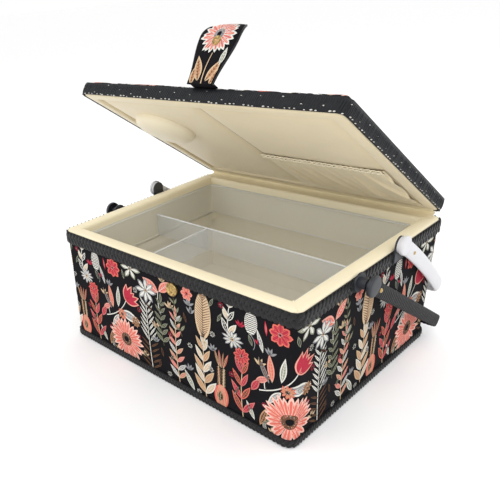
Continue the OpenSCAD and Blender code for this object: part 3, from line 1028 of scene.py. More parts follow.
class Garden:
    """One repeat of the print, drawn once and laid many times."""

    WIDTH = 206.0

    def __init__(self) -> None:
        """Draws the whole repeat."""
        self.canvas = Canvas()
        self._left()
        self._middle()
        self._right()
        self._filling()

    def _left(self) -> None:
        """Draws the bulb, a white and a red sprig and the grey cone."""
        c = self.canvas
        c.bulb(18 + 6j, 62)
        pale = [(Ink.WHITE, Ink.BONE), (Ink.WHITE, Ink.GROUND)]
        c.sprig(27 + 84j, 28 + 124j, 3, 17, 6.5, pale, Ink.WHITE, 34)
        c.flower(31 + 88j, 12, 11, 3.6, Ink.WHITE, Ink.SMOKE, Ink.BONE, 2.2, squash=0.8)
        c.flower(41 + 75j, 9, 10, 4.2, Ink.CRIMSON, Ink.CORAL, Ink.ROSE, 2.0)
        red = [(Ink.ROSE, Ink.CRIMSON), (Ink.CORAL, Ink.BROWN)]
        c.sprig(44 + 5j, 42 + 62j, 4, 24, 6.8, red, Ink.BONE, 36)
        c.pinecone(50 + 112j, 13, 23)
        c.tuft(39 + 104j, 7, Ink.CRIMSON)
        c.tuft(58 + 94j, 6, Ink.CRIMSON)
        c.leaf(63 + 88j, 108, 22, 4.4, Ink.WHITE, Ink.SMOKE)
        c.leaf(66 + 106j, 98, 14, 2.6, Ink.CRIMSON, Ink.ROSE)

    def _middle(self) -> None:
        """Draws the large flower, the tulip and the fern."""
        c = self.canvas
        c.flower(79 + 112j, 11.5, 8, 6.4, Ink.CRIMSON, Ink.CORAL, Ink.ROSE, 2.4, blunt=0.6)
        c.flower(91 + 28j, 27, 24, 5.6, Ink.CORAL, Ink.PETAL, Ink.BROWN, 8.0)
        c.curve(60 + 48j, 97 + 80j, -5, 1.2, Ink.WHITE)
        c.tulip(95 + 78j, 42, 24, Ink.CRIMSON, Ink.BLUSH)
        c.curve(66 + 52j, 74 + 72j, 4, 0.9, Ink.WHITE)
        c.leaf(73 + 62j, 98, 28, 7, Ink.BLUSH, Ink.CORAL, Ink.BONE)
        c.leaf(70 + 60j, 118, 25, 5, Ink.SMOKE, Ink.BROWN)
        c.leaf(82 + 66j, 84, 26, 6.4, Ink.WHITE, Ink.SAGE)
        c.leaf(86 + 62j, -8, 30, 12, Ink.WHITE, Ink.SMOKE)
        c.leaf(82 + 56j, 234, 22, 6.5, Ink.WHITE, Ink.SMOKE)
        c.leaf(52 + 44j, 62, 18, 7, Ink.ROSE, Ink.CRIMSON)
        c.leaf(56 + 56j, 32, 17, 6.4, Ink.BLUSH, Ink.ROSE)
        c.flower(88 + 59j, 7, 11, 2.4, Ink.TAN, Ink.CORAL, Ink.BROWN, 2.0)
        c.flower(109 + 57j, 7, 10, 2.4, Ink.BROWN, Ink.TAN, Ink.TAN, 2.0)
        c.flower(107 + 119j, 15, 6, 6.2, Ink.WHITE, Ink.SAGE, Ink.BONE, 1.6, squash=0.85, blunt=1.0)
        c.fern(131 + 4j, 127 + 84j, 12, 25, Ink.WHITE, Ink.BROWN)
        c.flower(128 + 101j, 15, 8, 5.6, Ink.WHITE, Ink.SMOKE, Ink.BONE, 1.8, blunt=1.0)
        c.leaf(62 + 10j, 72, 25, 6.5, Ink.TAN, Ink.BROWN)
        c.leaf(56 + 12j, 118, 20, 5, Ink.WHITE, Ink.SAGE)
        c.leaf(66 + 14j, 32, 13, 4.6, Ink.SAGE, Ink.OLIVE)
        c.leaf(68 + 4j, 100, 14, 3.6, Ink.WHITE, Ink.GROUND)

    def _right(self) -> None:
        """Draws the broad leaves, the slim sprigs and the oval cone."""
        c = self.canvas
        c.curve(148 + 80j, 146 + 106j, 2, 1.0, Ink.WHITE)
        c.leaf(146 + 104j, 152, 24, 11, Ink.BLUSH, Ink.CORAL, Ink.WHITE)
        c.leaf(147 + 106j, 42, 22, 10, Ink.BLUSH, Ink.CORAL, Ink.WHITE)
        c.sprig(150 + 44j, 149 + 94j, 6, 14, 4.6, [(Ink.SAGE, Ink.OLIVE)], Ink.OLIVE, 52)
        c.sprig(176 + 66j, 166 + 112j, 5, 12, 4.0, [(Ink.OLIVE, Ink.SAGE)], Ink.OLIVE, 48)
        c.flower(184 + 116j, 8, 6, 5.0, Ink.CORAL, Ink.BLUSH, Ink.CRIMSON, 1.6)
        pairs = [(Ink.BONE, Ink.ROSE), (Ink.WHITE, Ink.SMOKE), (Ink.BLUSH, Ink.ROSE)]
        c.sprig(170 + 8j, 168 + 84j, 8, 17, 5.0, pairs, Ink.BONE, 46)
        c.cone(203 + 99j, 19, 48, Ink.BONE, Ink.BROWN)
        pale = [(Ink.WHITE, Ink.BONE), (Ink.BONE, Ink.TAN)]
        c.sprig(206 + 5j, 203 + 66j, 5, 24, 7.6, pale, Ink.BONE, 36)
        c.leaf(190 + 8j, 122, 24, 6.4, Ink.WHITE, Ink.SAGE)
        c.leaf(222 + 12j, 84, 13, 7, Ink.BONE, Ink.OLIVE)

    def _filling(self) -> None:
        """Scatters small flowers, twigs and leaves between the large shapes."""
        c = self.canvas
        spots = [
            (8, 84), (70, 88), (96, 104), (116, 74), (140, 62), (148, 30), (186, 60), (188, 96),
            (5, 112), (112, 40), (120, 18), (142, 14), (156, 12), (184, 30), (34, 30), (30, 50),
            (60, 74), (120, 122), (6, 44), (8, 66), (14, 100), (66, 34), (76, 6), (104, 8), (112, 96),
            (138, 44), (158, 30), (160, 62), (160, 92), (182, 84), (196, 10), (186, 104), (52, 90),
            (18, 118), (152, 118), (136, 80),
        ]
        tones = (Ink.WHITE, Ink.SMOKE, Ink.SAGE, Ink.CRIMSON, Ink.BONE, Ink.BROWN)
        for k, (x, y) in enumerate(spots):
            place = complex(x, y)
            if k % 3 == 0:
                c.flower(place, 4.2, 8, 1.6, tones[k % 6], Ink.GROUND, Ink.GROUND, 0.9, layer=2)
            elif k % 3 == 1:
                c.tuft(place, 8, tones[k % 6])
            else:
                c.leaf(place, c.rng.uniform(30, 150), 11, 3.4, tones[k % 6], Ink.GROUND)

    def lay(
        self, name: str, offsets: Sequence[tuple[float, float]], place: Callable[[Array], Array],
    ) -> bpy.types.Object:
        """Lays copies of the repeat on a surface.

        Args:
            name: the object's name.
            offsets: where each copy's corner goes, in millimetres.
            place: turns (x, y, layer) rows into points in metres.

        Returns:
            The printed mesh.
        """
        return lay_canvas(self.canvas, name, offsets, place)


def lay_canvas(
    canvas: Canvas, name: str, offsets: Sequence[tuple[float, float]], place: Callable[[Array], Array],
) -> bpy.types.Object:
    """Maps a canvas onto a surface, leaving out faces that collapse.

    Args:
        canvas: the flat shapes.
        name: the object's name.
        offsets: where each copy's corner goes, in millimetres.
        place: turns (x, y, layer) rows into points in metres.

    Returns:
        The printed mesh.
    """
    source = np.concatenate(canvas.shell.points)
    shell = Shell()
    faces = np.array(canvas.shell.faces)
    slots = np.array(canvas.shell.slots)
    for dx, dy in offsets:
        moved = place(source + np.array([dx, dy, 0.0]))
        quad = moved[faces]
        area = np.linalg.norm(np.cross(quad[:, 2] - quad[:, 0], quad[:, 3] - quad[:, 1]), axis=1)
        kept = area > 1e-10
        base = shell.count
        shell.points.append(moved)
        shell.count += len(moved)
        shell.faces.extend(map(tuple, faces[kept] + base))
        shell.slots.extend(slots[kept].tolist())
    return shell.build(name, [ink.finish for ink in INKS])


PRINT_BASE = 0.00016
PRINT_STEP = 0.00005


def lift(layer: Array) -> Array:
    """Returns: how far above the cloth a layer sits, in metres."""
    return PRINT_BASE + layer * PRINT_STEP


# ---------------------------------------------------------------- trims
@dataclass(frozen=True)
class Braid:
    """A flat braid of three strands that runs round a rounded rectangle."""

    rect: RoundedRect
    low: float
    high: float
    thick: float
    rows: int = 1
    wave: float = 0.0115

    def build(self, name: str) -> bpy.types.Object:
        """Returns: the braid as one mesh."""
        shell = Shell()
        count = int(self.rect.length / 0.0011)
        turns = round(self.rect.length / self.wave)
        u = np.linspace(0.0, self.rect.length, count, endpoint=False)
        flat, normal = self.rect.at(u)
        height = (self.high - self.low) / self.rows
        strand = height * 0.23
        out = raised(normal, 0.0)
        frames = np.stack([out, tiled(AXIS_Z, count)], 1)
        section = circle(1.0, 8) * np.array([self.thick * 0.34, strand])
        for row in range(self.rows):
            middle = self.low + height * (row + 0.5)
            for k in range(3):
                phase = TAU * (turns * u / self.rect.length + k / 3.0 + row * 0.17)
                side = (height / 2 - strand * 0.95) * np.sin(phase)
                depth = self.thick * (0.62 + 0.17 * np.sin(2 * phase))
                path = raised(flat + normal * depth[:, None], middle + side)
                wobble = 1.0 + 0.10 * np.sin(phase * 5.0 + row)[:, None, None]
                sweep(shell, path, frames, section * wobble, closed=True)
        back = raised(flat, self.low + 0.0006)[::4]
        face = back + out[::4] * self.thick * 0.45
        rise = AXIS_Z * (self.high - self.low - 0.0012)
        shell.grid(np.stack([back, face, face + rise, back + rise]), closed_u=True, closed_v=True)
        return shell.build(name, [Look.BRAID.value])


@dataclass(frozen=True)
class WovenBand:
    """The lid's raffia band: leaning stitches over a core, pale flecks along its lower edge and painted
    highlights above it.
    """

    rect: RoundedRect
    high: float
    thick: float
    seed: int = 9

    def build(self, name: str, place: Callable[[Array], Array]) -> bpy.types.Object:
        """Makes the band as one mesh.

        Args:
            name: the object's name.
            place: turns the closed lid's points to its rest angle.

        Returns:
            The new mesh object.
        """
        rng = random.Random(self.seed)
        shell = Shell()
        rect, thick = self.rect, self.thick
        core = RoundedRect(rect.half_w - thick, rect.half_d - thick, rect.radius - thick)
        u = np.linspace(0.0, core.length, 300, endpoint=False)
        flat, normal = core.at(u)
        loops = []
        high = self.high
        for out, z in ((0, 0.0006), (0.7, 0.0002), (0.78, 0.4 * high), (0.7, high * 0.97), (0, high)):
            loops.append(raised(flat + normal * self.thick * out, z))
        shell.grid(np.stack(loops), closed_u=True, closed_v=True)
        count = int(self.rect.length / STITCH_PITCH)
        steps = np.linspace(-0.5, 0.5, 7)
        for k in range(count):
            lean = 0.0028 + rng.uniform(-0.0005, 0.0005)
            us = (k + rng.uniform(-0.15, 0.15)) / count * self.rect.length + steps * lean
            spot, out = self.rect.at(us)
            bulge = 1.0 - np.abs(steps * 2) ** 3 * 0.45
            radius = rng.uniform(0.00085, 0.0012)
            level = self.high / 2 + steps * (self.high - 0.0008)
            path = raised(spot - out * (self.thick * (1 - 0.55 * bulge))[:, None], level)
            outward = raised(out, 0.0)
            frames = np.stack([outward, np.cross(outward, heading_of(path))], 1)
            taper = (1.0 - np.abs(steps * 2) ** 4 * 0.5)[:, None, None]
            section = circle(1.0, 6) * np.array([radius * 0.9, radius]) * taper
            sweep(shell, path, frames, section, closed=False)
        self._flecks(shell, rng)
        shell.move(place)
        return shell.build(name, [Look.BAND.value, Look.FLECK.value])

    def _flecks(self, shell: Shell, rng: random.Random) -> None:
        """Adds the pale stitches along the lower edge, and every fourth fleck higher up the band as a painted
        highlight.

        Args:
            shell: receives the faces.
            rng: the band's random draws.
        """
        for k in range(int(self.rect.length / FLECK_PITCH)):
            # every fourth fleck is not a stitch but a small painted highlight higher up the band
            low = k % 4 != 3
            u0 = k * FLECK_PITCH + rng.uniform(-0.001, 0.001)
            z0 = rng.uniform(0.0003, 0.0011) if low else rng.uniform(0.002, self.high * 0.8)
            size = rng.uniform(0.0006, 0.0013) if low else rng.uniform(0.0004, 0.0009)
            us = np.array([-1.0, 0.0, 1.0, 0.0]) * size + u0
            spot, out = self.rect.at(us)
            level = z0 + np.array([0.0, -0.3, 0.3, 0.6]) * size + (0.0 if low else 0.0003)
            push = 0.0002 if low else 0.0001
            points = raised(spot + out * push, level)
            shell.add(points, [(0, 1, 2, 3)], 1)
            shell.add(points - raised(out * 0.0006, 0.0), [(3, 2, 1, 0)], 1)


# ---------------------------------------------------------------- the case
def painted(nodes: Sequence[str], look: Look) -> None:
    """Gives CAD nodes a finish."""
    for name in nodes:
        mesh = frame["nodes"][name].data
        mesh.materials.clear()
        mesh.materials.append(look.value.material())


def placed(obj: bpy.types.Object, body: str, slot: str, *nodes: str) -> bpy.types.Object:
    """Sets a piece on its body, hides the CAD nodes that it replaces and logs its face count.

    Args:
        obj: the piece, in place.
        body: the CAD body that it rides.
        slot: the record's material slot; not used.
        nodes: the CAD nodes that it replaces.

    Returns:
        The same piece.
    """
    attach(obj, body)
    if nodes:
        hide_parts(*nodes)
    LOG.info("%s: %d faces on %s", obj.name, len(obj.data.polygons), body)
    return obj


@dataclass
class Case:
    """The box below the lid: printed walls, padded rim, braids, lining and hardware."""

    AROUND = 560
    UPWARD = 26
    SKIN_RIPPLE = 0.00004
    RIM_RIPPLE = 0.00012
    LINING_RIPPLE = 0.0004
    FLOOR_RIPPLE = 0.0005
    HINGE_INSET = 0.007
    m: Measures

    def build(self, garden: Garden) -> None:
        """Builds and dresses every piece of the case."""
        m = self.m
        rect = RoundedRect(m.half_w, m.half_d, m.corner)
        self._walls(rect, garden)
        self._rim(rect)
        for node, wave in zip(("top_braid", "foot_braid"), BRAID_WAVES):
            low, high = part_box(node)
            braid = Braid(rect, low.z, high.z, m.trim, wave=wave).build(node + "_cord")
            placed(braid, "case", "black_braid", node)
        self._snap()
        painted(["base_cloth"], Look.PLAIN)
        painted(["base_board", "board_front", "board_back", "board_left", "board_right"], Look.BOARD)
        painted(["ledge_left", "ledge_right"], Look.CREAM)
        painted(["hinge_case_leaf", "hinge_pin"], Look.STEEL)
        painted(["smooth_plates", "woven_plates"], Look.CHARCOAL)
        self._hinge_cloth()

    def _walls(self, rect: RoundedRect, garden: Garden) -> None:
        """Makes the ground cloth and lays the print on it.

        Args:
            rect: the outline of the walls.
            garden: the print.
        """
        ripple = value_noise(3, 6.0)
        front_start = sum(rect.runs[:4]) - self.m.corner

        def skin(u: Array, v: Array) -> Array:
            """Returns: how far the cloth stands off the wall."""
            return self.SKIN_RIPPLE * ripple(u * 4, v * 6)

        def place(points: Array) -> Array:
            """Returns: printed points wrapped round the walls."""
            v = np.clip(points[:, 1] * MM, self.m.foot_top - PRINT_LAP, self.m.braid_low + PRINT_LAP)
            flat, normal = rect.at(points[:, 0] * MM + front_start)
            return raised(flat + normal * lift(points[:, 2])[:, None], v)

        us = np.linspace(0.0, rect.length, self.AROUND, endpoint=False)
        vs = np.linspace(0.0, self.m.wall_top, self.UPWARD)
        flat, normal = rect.at(us)
        rows = []
        for v in vs:
            out = skin(us, np.full(len(us), v))[:, None]
            rows.append(raised(flat + normal * out, v))
        shell = Shell()
        shell.grid(np.stack(rows), closed_u=True)
        skin_obj = shell.build("case_skin", [Look.GROUND.value])
        placed(skin_obj, "case", "printed_cloth", "case_cover")
        turns = math.ceil(rect.length / MM / Garden.WIDTH)
        start = -2 * Garden.WIDTH
        copies = [(start + k * Garden.WIDTH, 0.0) for k in range(turns)]
        drawn = garden.lay("case_print", copies, place)
        placed(drawn, "case", "printed_cloth")

    def _rim(self, rect: RoundedRect) -> None:
        """Makes the padded rim and the lining of the well."""
        m = self.m
        deep = m.half_w - m.well_half_w
        top = m.top
        profile = [
            (0.0, m.wall_top - 0.002), (0.0, top - 0.0022), (0.0004, top - 0.0010), (0.0014, top - 0.0003),
            (0.0034, top), (deep * 0.5, top + 0.0002), (deep - 0.0034, top), (deep - 0.0014, top - 0.0004),
            (deep - 0.0003, top - 0.0014), (deep, top - 0.0030), (deep, m.wall_top - 0.003),
        ]
        ripple = value_noise(5, 9.0)
        rows = []
        for inset, z in profile:
            ring = rect.ring(inset)
            wave = self.RIM_RIPPLE * ripple(ring[:, 0] * 3, ring[:, 1] * 3)
            rows.append(raised(ring, z + wave))
        shell = Shell()
        shell.grid(np.stack(rows), closed_u=True)
        for corner in ((-1, -1), (1, -1), (-1, 1), (1, 1)):
            self._mitre(shell, corner, deep)
        placed(shell.build("rim_cloth", [Look.CREAM.value]), "case", "cream_cloth", "rim_strip")
        rows = []
        for z in np.linspace(m.wall_top, m.floor - 0.0005, 14):
            ring = rect.ring(deep)
            swell = self.LINING_RIPPLE * ripple(ring[:, 0] * 2 + z * 9, ring[:, 1] * 2 - z * 7)[:, None]
            rows.append(raised(ring * (1 + swell), z))
        well = Shell()
        well.grid(np.stack(rows), closed_u=True)
        floor_x = np.linspace(-m.well_half_w, m.well_half_w, 60)
        floor_y = np.linspace(-m.well_half_d, m.well_half_d, 50)
        gx, gy = np.meshgrid(floor_x, floor_y)
        well.grid(np.stack([gx, gy, m.floor + self.FLOOR_RIPPLE * ripple(gx * 2, gy * 2)], -1))
        sides = ["lining_front", "lining_back", "lining_left", "lining_right", "lining_floor"]
        placed(well.build("well_lining", [Look.CREAM.value]), "case", "cream_cloth", *sides)

    def _mitre(self, shell: Shell, corner: tuple[int, int], deep: float) -> None:
        """Adds the folded overlap of cloth at one corner of the rim.

        Args:
            shell: receives the faces.
            corner: the signs of x and y at that corner.
            deep: the thickness of the wall.
        """
        m = self.m
        sx, sy = corner
        outer = np.array([sx * (m.half_w - 0.0030), sy * (m.half_d - 0.0030)])
        inner = np.array([sx * (m.half_w - deep + 0.0006), sy * (m.half_d - deep + 0.0006)])
        t = np.linspace(0.0, 1.0, 8)[:, None]
        spine = outer + (inner - outer) * t
        across = np.array([sx, -sy]) / math.sqrt(2.0)
        rows = []
        for off, rise in ((-0.0008, -0.0002), (-0.0003, 0.00045), (0.0003, 0.00045), (0.0010, -0.0002)):
            rows.append(raised(spine + across * off, m.top + rise))
        shell.grid(np.stack(rows))

    def _hinge_cloth(self) -> None:
        """Makes the glued cloth strip that curves from the back of the rim to the lid, fixed where it is
        drawn.
        """
        m = self.m
        ends = m.lid(np.array([[0.0, m.half_d - 0.0030, -0.0004], [0.0, m.half_d - 0.0105, -0.0005]]))
        route = np.array([
            [0.0, m.half_d - 0.0120, m.top + 0.0006], [0.0, m.half_d - 0.0030, m.top + 0.0006],
            [0.0, m.half_d + 0.0012, (m.top + ends[0, 2]) / 2], ends[0], ends[1],
        ])
        t = np.linspace(0.0, len(route) - 1.0, 33)
        line = eased(route, t, 3)
        reach = m.half_w - self.HINGE_INSET
        xs = np.linspace(-reach, reach, 90)
        ripple = value_noise(17, 9.0)
        wave = 0.0003 * ripple(xs[None, :] * 3, t[:, None] * 0.02) * np.sin(math.pi * t / 4)[:, None]
        rows = np.broadcast_to(line[:, None, :], (33, 90, 3)).copy()
        rows[..., 0] = xs
        rows[..., 1] += wave
        shell = Shell()
        shell.grid(rows)
        cloth = shell.build("hinge_cloth", [Look.CREAM.value])
        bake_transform(cloth)

    def _snap(self) -> None:
        """Makes the front snap as a turned ring with a raised eye."""
        low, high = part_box("front_stud")
        centre = np.array([(low.x + high.x) / 2, low.y, (low.z + high.z) / 2])
        wide, deep = (high.z - low.z) / 2, -self.m.half_d - low.y
        shares = [
            (1.0, 1.0), (1.0, 0.35), (0.96, 0.12), (0.88, 0.0), (0.78, 0.0), (0.70, 0.15), (0.66, 0.48),
            (0.40, 0.52), (0.34, 0.36), (0.26, 0.36), (0.20, 0.60), (0.0, 0.75),
        ]
        shell = Shell()
        lathe(shell, centre, AXIS_Y, [(wide * a, deep * b) for a, b in shares])
        placed(shell.build("front_snap", [Look.BRASS.value]), "case", "brass", "front_stud")


# ---------------------------------------------------------------- the lid
@dataclass
class Lid:
    """The padded lid, drawn closed with its underside at height 0 and then turned to its rest angle."""

    ROLL = 0.027
    PRINT_EDGE = 0.0012
    CUSHION_HIGH = 0.0115
    SCALLOP = 0.0052
    m: Measures

    def __post_init__(self) -> None:
        """Works out the outlines and the height of the padding."""
        m = self.m
        self.band_high = float(m.closed("lid_band")[:, 2].max())
        self.outer = RoundedRect(m.half_w, m.half_d, m.corner)
        self.cover = RoundedRect(m.half_w - BAND_THICK, m.half_d - BAND_THICK, m.corner - 2 * MM)
        self.crown = float(m.closed("lid_cover")[:, 2].max()) - self.band_high

    def _span(self, node: str, axis: int) -> tuple[float, float]:
        """Returns: the lowest and highest place of a CAD node along x or y of the closed lid."""
        values = self.m.closed(node)[:, axis]
        return float(values.min()), float(values.max())

    def build(self, garden: Garden) -> None:
        """Builds and dresses every piece of the lid."""
        band = WovenBand(self.outer, self.band_high, BAND_THICK).build("lid_band_weave", self.m.lid)
        placed(band, "lid", "black_braid", "lid_band")
        self._crown(garden)
        self._border()
        self._panels()
        self._pincushion()
        self._pocket()
        painted(["lid_board"], Look.BOARD)
        painted(["lid_pad"], Look.CREAM)
        painted(["hinge_lid_leaf"], Look.STEEL)

    def _crown_height(self, x: Array, y: Array) -> Array:
        """Works out the height of the padded top.

        Args:
            x: places across the closed lid.
            y: places from front to back.

        Returns:
            Heights above the closed lid's underside.
        """
        edge = np.minimum(self.cover.half_w - np.abs(x), self.cover.half_d - np.abs(y))
        t = np.clip(edge / self.ROLL, 0.0, 1.0)
        soft = np.sin(t * math.pi / 2) ** 0.8
        ripple = value_noise(8, 7.0)
        return self.band_high - 0.0008 + soft * (self.crown + 0.0004) + 0.00005 * ripple(x * 3, y * 3) * t

    def _crown(self, garden: Garden) -> None:
        """Makes the printed cloth over the padding."""
        rows = []
        insets = [0.0, 0.0006, *np.linspace(0.002, self.cover.half_d - 0.001, 30)]
        for inset in insets:
            ring = self.cover.ring(inset)
            z = self._crown_height(ring[:, 0], ring[:, 1])
            if inset == 0.0:
                z = z * 0 + self.band_high - 0.003
            rows.append(raised(ring, z))
        shell = Shell()
        shell.grid(np.stack(rows), closed_u=True)
        shell.fan(rows[-1])
        shell.move(self.m.lid)
        top = shell.build("lid_top_cloth", [Look.GROUND.value])
        placed(top, "lid", "printed_cloth", "lid_cover")

        edge_x, edge_y = self.cover.half_w - self.PRINT_EDGE, self.cover.half_d - self.PRINT_EDGE

        def place(points: Array) -> Array:
            """Returns: printed points laid on the padded top."""
            x = np.clip(points[:, 0] * MM, -edge_x, edge_x)
            y = np.clip(points[:, 1] * MM, -edge_y, edge_y)
            z = self._crown_height(x, y) + lift(points[:, 2]) * 1.2 + 0.0002
            return self.m.lid(np.stack([x, y, z], -1))

        offsets = []
        for row in range(2):
            for col in range(-2, 2):
                offsets.append((col * Garden.WIDTH + 55 + row * 80, -126 + row * 126))
        placed(garden.lay("lid_print", offsets, place), "lid", "printed_cloth")

    def _border(self) -> None:
        """Makes the flat satin strip round the underside."""
        across = self.m.half_w - BAND_THICK + self._span("lid_panel_left", 0)[0]
        profile = [
            (-0.0002, 0.0030), (0.0, 0.0012), (0.0008, 0.0003), (0.0022, 0.0), (across * 0.5, -0.0001),
            (across - 0.0020, 0.0), (across - 0.0006, 0.0005), (across, 0.0016), (across + 0.0004, 0.0030),
        ]
        ripple = value_noise(21, 8.0)
        rows = []
        for inset, z in profile:
            ring = self.cover.ring(inset + 0.0012)
            wave = 0.00018 * ripple(ring[:, 0] * 3, ring[:, 1] * 3)
            rows.append(raised(ring, z + wave))
        shell = Shell()
        shell.grid(np.stack(rows), closed_u=True)
        shell.move(self.m.lid)
        placed(shell.build("lid_border_satin", [Look.SATIN.value]), "lid", "satin", "lid_border")

    def _panels(self) -> None:
        """Makes the two lightly padded satin panels."""
        for node, seed in (("lid_panel_left", 31), ("lid_panel_right", 32)):
            x0, x1 = self._span(node, 0)
            y0, y1 = self._span(node, 1)
            gx, gy = np.meshgrid(np.linspace(x0, x1, 70), np.linspace(y0, y1, 110))
            edge = np.minimum(np.minimum(gx - x0, x1 - gx), np.minimum(gy - y0, y1 - gy))
            puff = 1.0 - np.exp(-edge / 0.006)
            slow = value_noise(seed, 4.0)
            z = 0.0034 - 0.0028 * puff + 0.00035 * slow(gx * 2, gy * 2) * puff
            shell = Shell()
            shell.grid(self.m.lid(np.stack([gx, gy, z], -1)))
            name = node + "_satin"
            placed(shell.build(name, [Look.SATIN.value]), "lid", "satin", node)

    def _pincushion(self) -> None:
        """Makes the round stuffed pincushion with gathers at its rim."""
        x0, x1 = self._span("lid_pincushion", 0)
        y0, y1 = self._span("lid_pincushion", 1)
        centre = np.array([(x0 + x1) / 2, (y0 + y1) / 2])
        radius = (x1 - x0) / 2
        high = self.CUSHION_HIGH
        around = np.linspace(0.0, TAU, 96, endpoint=False)
        rows = []
        for t in np.linspace(0.0, 1.0, 26):
            a = t * math.pi / 2 * 1.12
            r = radius * min(1.0, math.sin(min(a, math.pi / 2)) ** 0.62)
            z = 0.0005 - high * max(math.cos(min(a, math.pi / 2)), 0.0) ** 0.85
            if t > 0.9:
                z += (t - 0.9) * 0.02
            gather = 0.012 * max(0.0, t - 0.55) * (np.sin(around * 18) + 0.6 * np.sin(around * 31 + 1))
            ring = centre + np.stack([np.cos(around), np.sin(around)], -1) * (r * (1 + gather * 0.5))[:, None]
            rows.append(np.concatenate([ring, (z + gather * 0.012)[:, None]], -1))
        shell = Shell()
        shell.grid(self.m.lid(np.stack(rows)), closed_u=True)
        cushion = shell.build("pincushion_satin", [Look.ELASTIC.value])
        placed(cushion, "lid", "cream_cloth", "lid_pincushion")

    def _pocket(self) -> None:
        """Makes the gathered pocket with its scalloped elastic edge."""
        x0, x1 = self._span("lid_pocket", 0)
        y1 = self._span("lid_pocket", 1)[1]
        e0, e1 = self._span("pocket_elastic", 1)
        gx, gy = np.meshgrid(np.linspace(x0, x1, 150), np.linspace(e0 + 0.002, y1, 90))
        u, v = (gx - x0) / (x1 - x0), (gy - e0) / (y1 - e0)
        across = np.sin(math.pi * np.clip(u, 0, 1)) ** 0.35
        swell = across * np.sin(math.pi * np.clip(v * 0.86 + 0.07, 0, 1)) ** 0.5
        folds = np.zeros_like(gx)
        rng = random.Random(77)
        for k in range(9):
            root = 0.08 + 0.105 * k + rng.uniform(-0.02, 0.02)
            lean = rng.uniform(0.10, 0.34)
            wide = rng.uniform(0.018, 0.034) * (0.5 + v)
            ridge = np.exp(-(((u - root - lean * (v - 0.1)) / wide) ** 2))
            folds += ridge * rng.uniform(0.5, 1.0) * np.clip(v * 2.2, 0, 1) * np.clip((1.05 - v) * 3, 0, 1)
        gathers = 0.00035 * np.sin(u * TAU * 26) * np.exp(-v / 0.12)
        z = 0.0008 - 0.0032 * swell - 0.0027 * folds + gathers
        shell = Shell()
        shell.grid(self.m.lid(np.stack([gx, gy, z], -1)))
        pocket = placed(shell.build("pocket_satin", [Look.SATIN.value]), "lid", "satin", "lid_pocket")
        count = 420
        t = np.linspace(x0 + 0.001, x1 - 0.001, count)
        wave = (t - x0) / self.SCALLOP * TAU
        middle = (e0 + e1) / 2
        frames = np.broadcast_to(np.stack([AXIS_Y, AXIS_Z]), (count, 2, 3))
        trim = Shell()
        rolls = ((-0.0022, -0.0010, 0.0010), (0.0012, -0.0016, 0.0013), (0.0038, -0.0012, 0.0010))
        for shift, level, thick in rolls:
            scallop = -0.0011 * np.abs(np.sin(wave / 2)) if shift < 0 else 0.0002 * np.sin(wave)
            path = np.stack([t, middle + shift + scallop, level + 0.0004 * np.cos(wave)], -1)
            sweep(trim, path, frames, circle(1.0, 10) * np.array([thick * 1.25, thick * 0.7]), closed=False)
        trim.move(self.m.lid)
        placed(trim.build("pocket_edge", [Look.ELASTIC.value]), "lid", "satin", "pocket_elastic")
        area = sum(p.area for p in pocket.data.polygons)
        wide = x1 - x0
        area / wide


